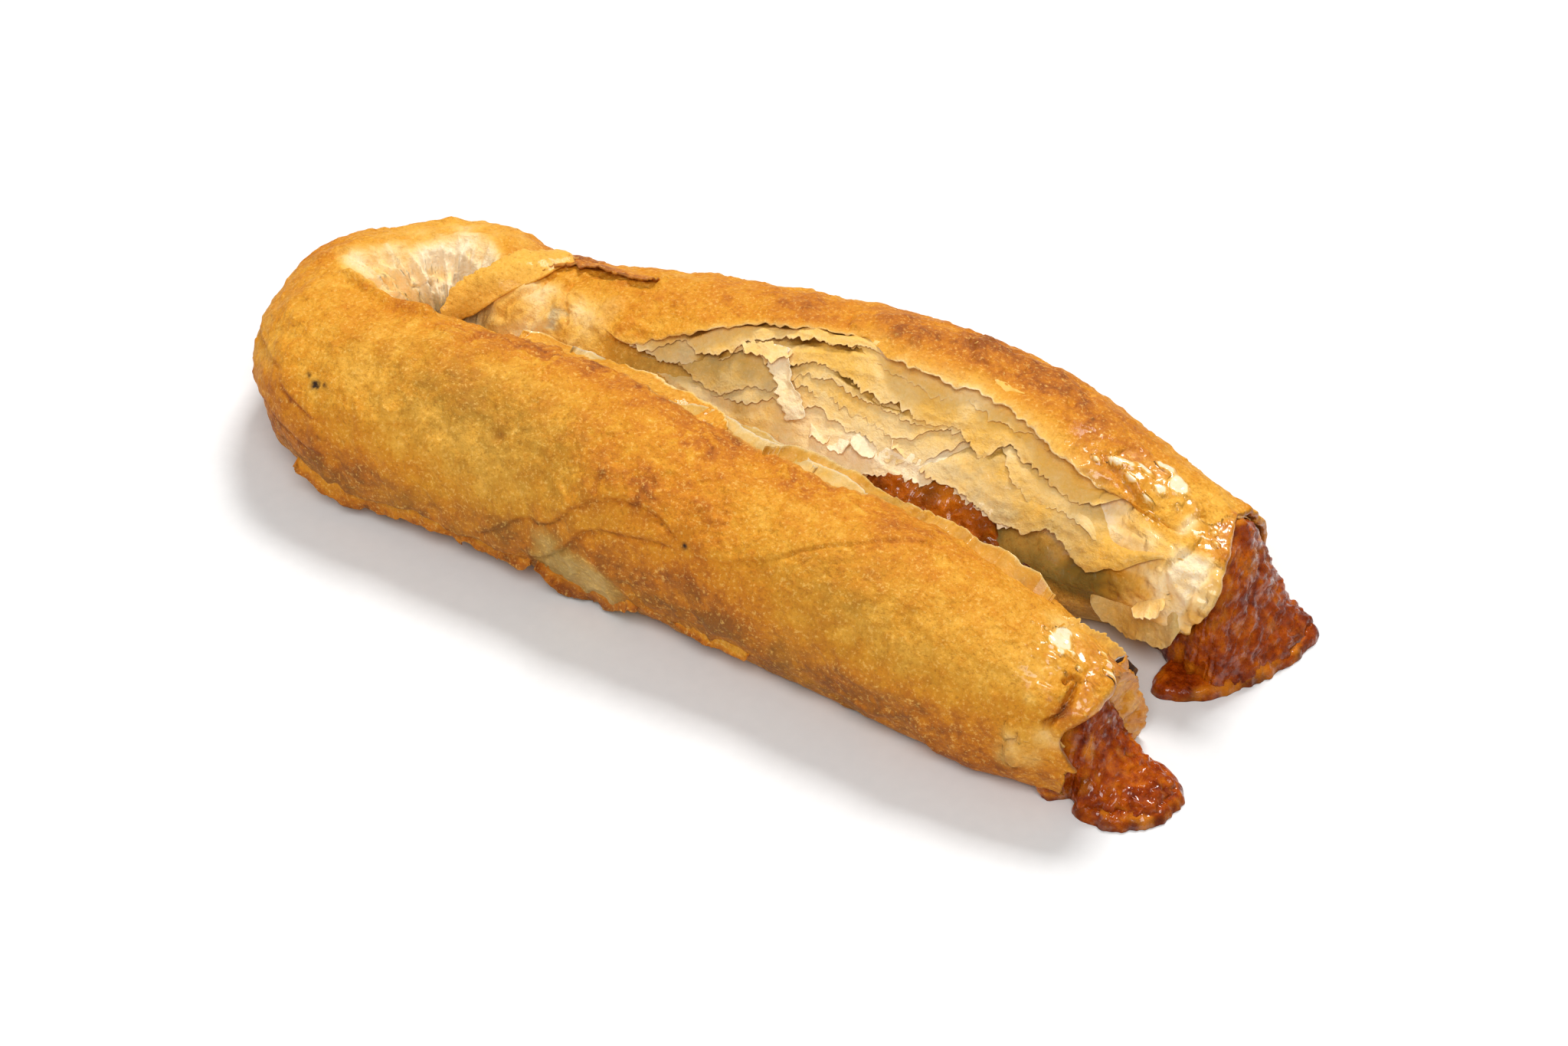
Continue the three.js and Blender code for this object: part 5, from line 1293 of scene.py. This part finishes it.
NEAR_ROWS = [(-2, -16.6, 10, 9, 18.5), (0.4, -16.2, 9.0, 9.2, 19.0), (1.6, -16, 8.4, 9.2, 17.6), (3.2, -16, 9.0, 9.4, 13.2), (5.4, -16.2, 9.8, 9.4, 9.2), (8, -16.2, 9.4, 8.6, 6.6), (11, -16.0, 9, 7.6, 5.2), (14.5, -15.8, 7.4, 6.4, 4.2), (17.5, -15.4, 5, 4.4, 3.0), (18.6, -15.2, 2, 2, 1.8)]
FAR_ROWS = [(-13, 31, 10, 9.6, 25.6), (-9, 31, 12, 12, 28.4), (-6, 31, 13.6, 13.6, 29.4), (-3, 31, 14.4, 14.4, 28.2), (-0.6, 30.8, 14.6, 14, 24.6), (1.6, 30.6, 14.4, 14.2, 19.5), (3.6, 31, 13.6, 14, 13.5), (5.6, 32, 12.2, 13.2, 9.0), (8, 34.5, 9.6, 10.8, 5.8), (10.4, 37.6, 6, 6.6, 3.8), (11.6, 39.6, 2, 2.4, 2.2)]
tongue("filling_near", 1, NEAR_ROWS, 78.5, -SLANT, 1.0)
tongue("filling_far", 2, FAR_ROWS, 88.0, SLANT, 0.45, 0.26)
puddle("spill_near", 1, 0.0, [(77.6, -18.8), (79.8, -21), (81, -22.6), (82.1, -27.0), (83.4, -28.0), (86.6, -27.6), (89.1, -27.9), (94, -24.8), (97.6, -20.9), (98.6, -16.5), (99.2, -13.3), (97.4, -10.9), (92.5, -7.6), (88.1, -7.0), (82, -5.1), (78, -8), (76, -14)],
       (88, -16), lambda X, Y: 1.6 * np.exp(-(((Y + 16) / 7) ** 2)) * smooth(100, 84, X))
puddle("spill_far", 2, 0.0, [(79.6, 20), (78.6, 12.7), (80.1, 9.9), (82.5, 9.2), (84.3, 10.0), (87.5, 11.6), (91.6, 15.4), (94.4, 20.7), (97.4, 24.7), (98.6, 29), (100.3, 32.2), (100.5, 36.2), (101.6, 40.5), (100.9, 42.8), (99.2, 43.9), (95.8, 45.1), (92.6, 46.5), (88.6, 48), (84, 44), (80, 32)],
       (89.5, 29), lambda X, Y: 2.4 * np.exp(-(((Y - 31) / 10) ** 2)) * smooth(101, 88, X))


def split_jam():
    """The filling that shows through the split low on the burst flank."""
    N = Noise(400)
    S = np.linspace(322, 374, 140)
    Q = np.linspace(0.52, 1.02, 60)
    SS, QQ = np.meshgrid(S, Q, indexing="ij")
    top = curve(JAMTOP, SS)
    mask = smooth(325, 335, SS) * (1 - smooth(360, 372, SS)) * smooth(-0.10, 0.0, QQ - top) * (1 - smooth(0.92, 1.02, QQ))
    w = np.stack([SS, QQ * 30, 0 * SS], -1)
    h = -2.2 + 2.3 * mask + 0.9 * N.fbm(w, 4.5, 4, 0.6) + 0.8 * np.abs(N(w, 2.2)) + 0.25 * N(w + 5, 1.1)
    P = layer(SS, QQ, 1.0 + 0 * SS, h)
    vs, fs = shell(P, 1.2 + 0 * SS)
    dry = smooth(0.75, 0.2, mask) + 0.30 + 0.7 * N.fbm(w, 4, 2)
    amber = np.clip(smooth(338, 345, SS) * (1 - smooth(350, 356, SS)) * smooth(0.78, 0.68, QQ) + 0.42 + 0.5 * smooth(0.1, 0.45, N.fbm(w + 30, 5, 3)), 0, 1)
    o = build("filling_split", vs, fs, JAM, {"dry": np.concatenate([dry.ravel()] * 2), "amber": np.concatenate([amber.ravel()] * 2)})
    return keep(o, "filling")


split_jam()

# ---- floor, light, camera ------------------------------------------------------------------------------------------------------------------------
fm = bpy.data.meshes.new("floor")
fm.from_pydata([(-3, -3, 0), (3, -3, 0), (3, 3, 0), (-3, 3, 0)], [], [(0, 1, 2, 3)])
fm.materials.append(floor_material())
floor = bpy.data.objects.new("floor", fm)
bpy.context.scene.collection.objects.link(floor)

TARGET = Vector((14.07, -11.06, 14)) * MM
AZ, EL, DIST = math.radians(32.5), math.radians(42), 0.620
BACK = Vector((math.sin(AZ) * math.cos(EL), -math.cos(AZ) * math.cos(EL), math.sin(EL)))


def softbox(name, direction, dist, size, watts, colour=(1, 1, 1)):
    d = Vector(direction).normalized()
    L = bpy.data.lights.new(name, "AREA")
    L.shape, L.size, L.size_y = "RECTANGLE", size[0], size[1]
    L.energy, L.color = watts, colour
    o = bpy.data.objects.new(name, L)
    o.location = TARGET + d * dist
    o.rotation_mode = "QUATERNION"
    o.rotation_quaternion = d.to_track_quat("Z", "Y")
    bpy.context.scene.collection.objects.link(o)
    return o


softbox("key", (-0.12, 0.50, 0.86), 1.1, (0.36, 0.26), 9.0)
softbox("fill", (0.30, -0.50, 0.81), 1.4, (0.8, 0.6), 10.6)
softbox("side", (-0.9, -0.45, 0.45), 1.3, (0.8, 0.8), 2.0)

world = bpy.data.worlds.new("studio")
world.use_nodes = True
world.node_tree.nodes["Background"].inputs["Color"].default_value = (1, 1, 1, 1)
world.node_tree.nodes["Background"].inputs["Strength"].default_value = 0.30
bpy.context.scene.world = world

cam = bpy.data.cameras.new("camera")
cam.lens, cam.sensor_width, cam.clip_start, cam.clip_end = 70, 36, 0.02, 20
camera = bpy.data.objects.new("camera", cam)
camera.location = TARGET + BACK * DIST
camera.rotation_mode = "QUATERNION"
camera.rotation_quaternion = (-BACK).to_track_quat("-Z", "Y")
bpy.context.scene.collection.objects.link(camera)
bpy.context.scene.camera = camera
bpy.context.scene.view_settings.view_transform = "Standard"
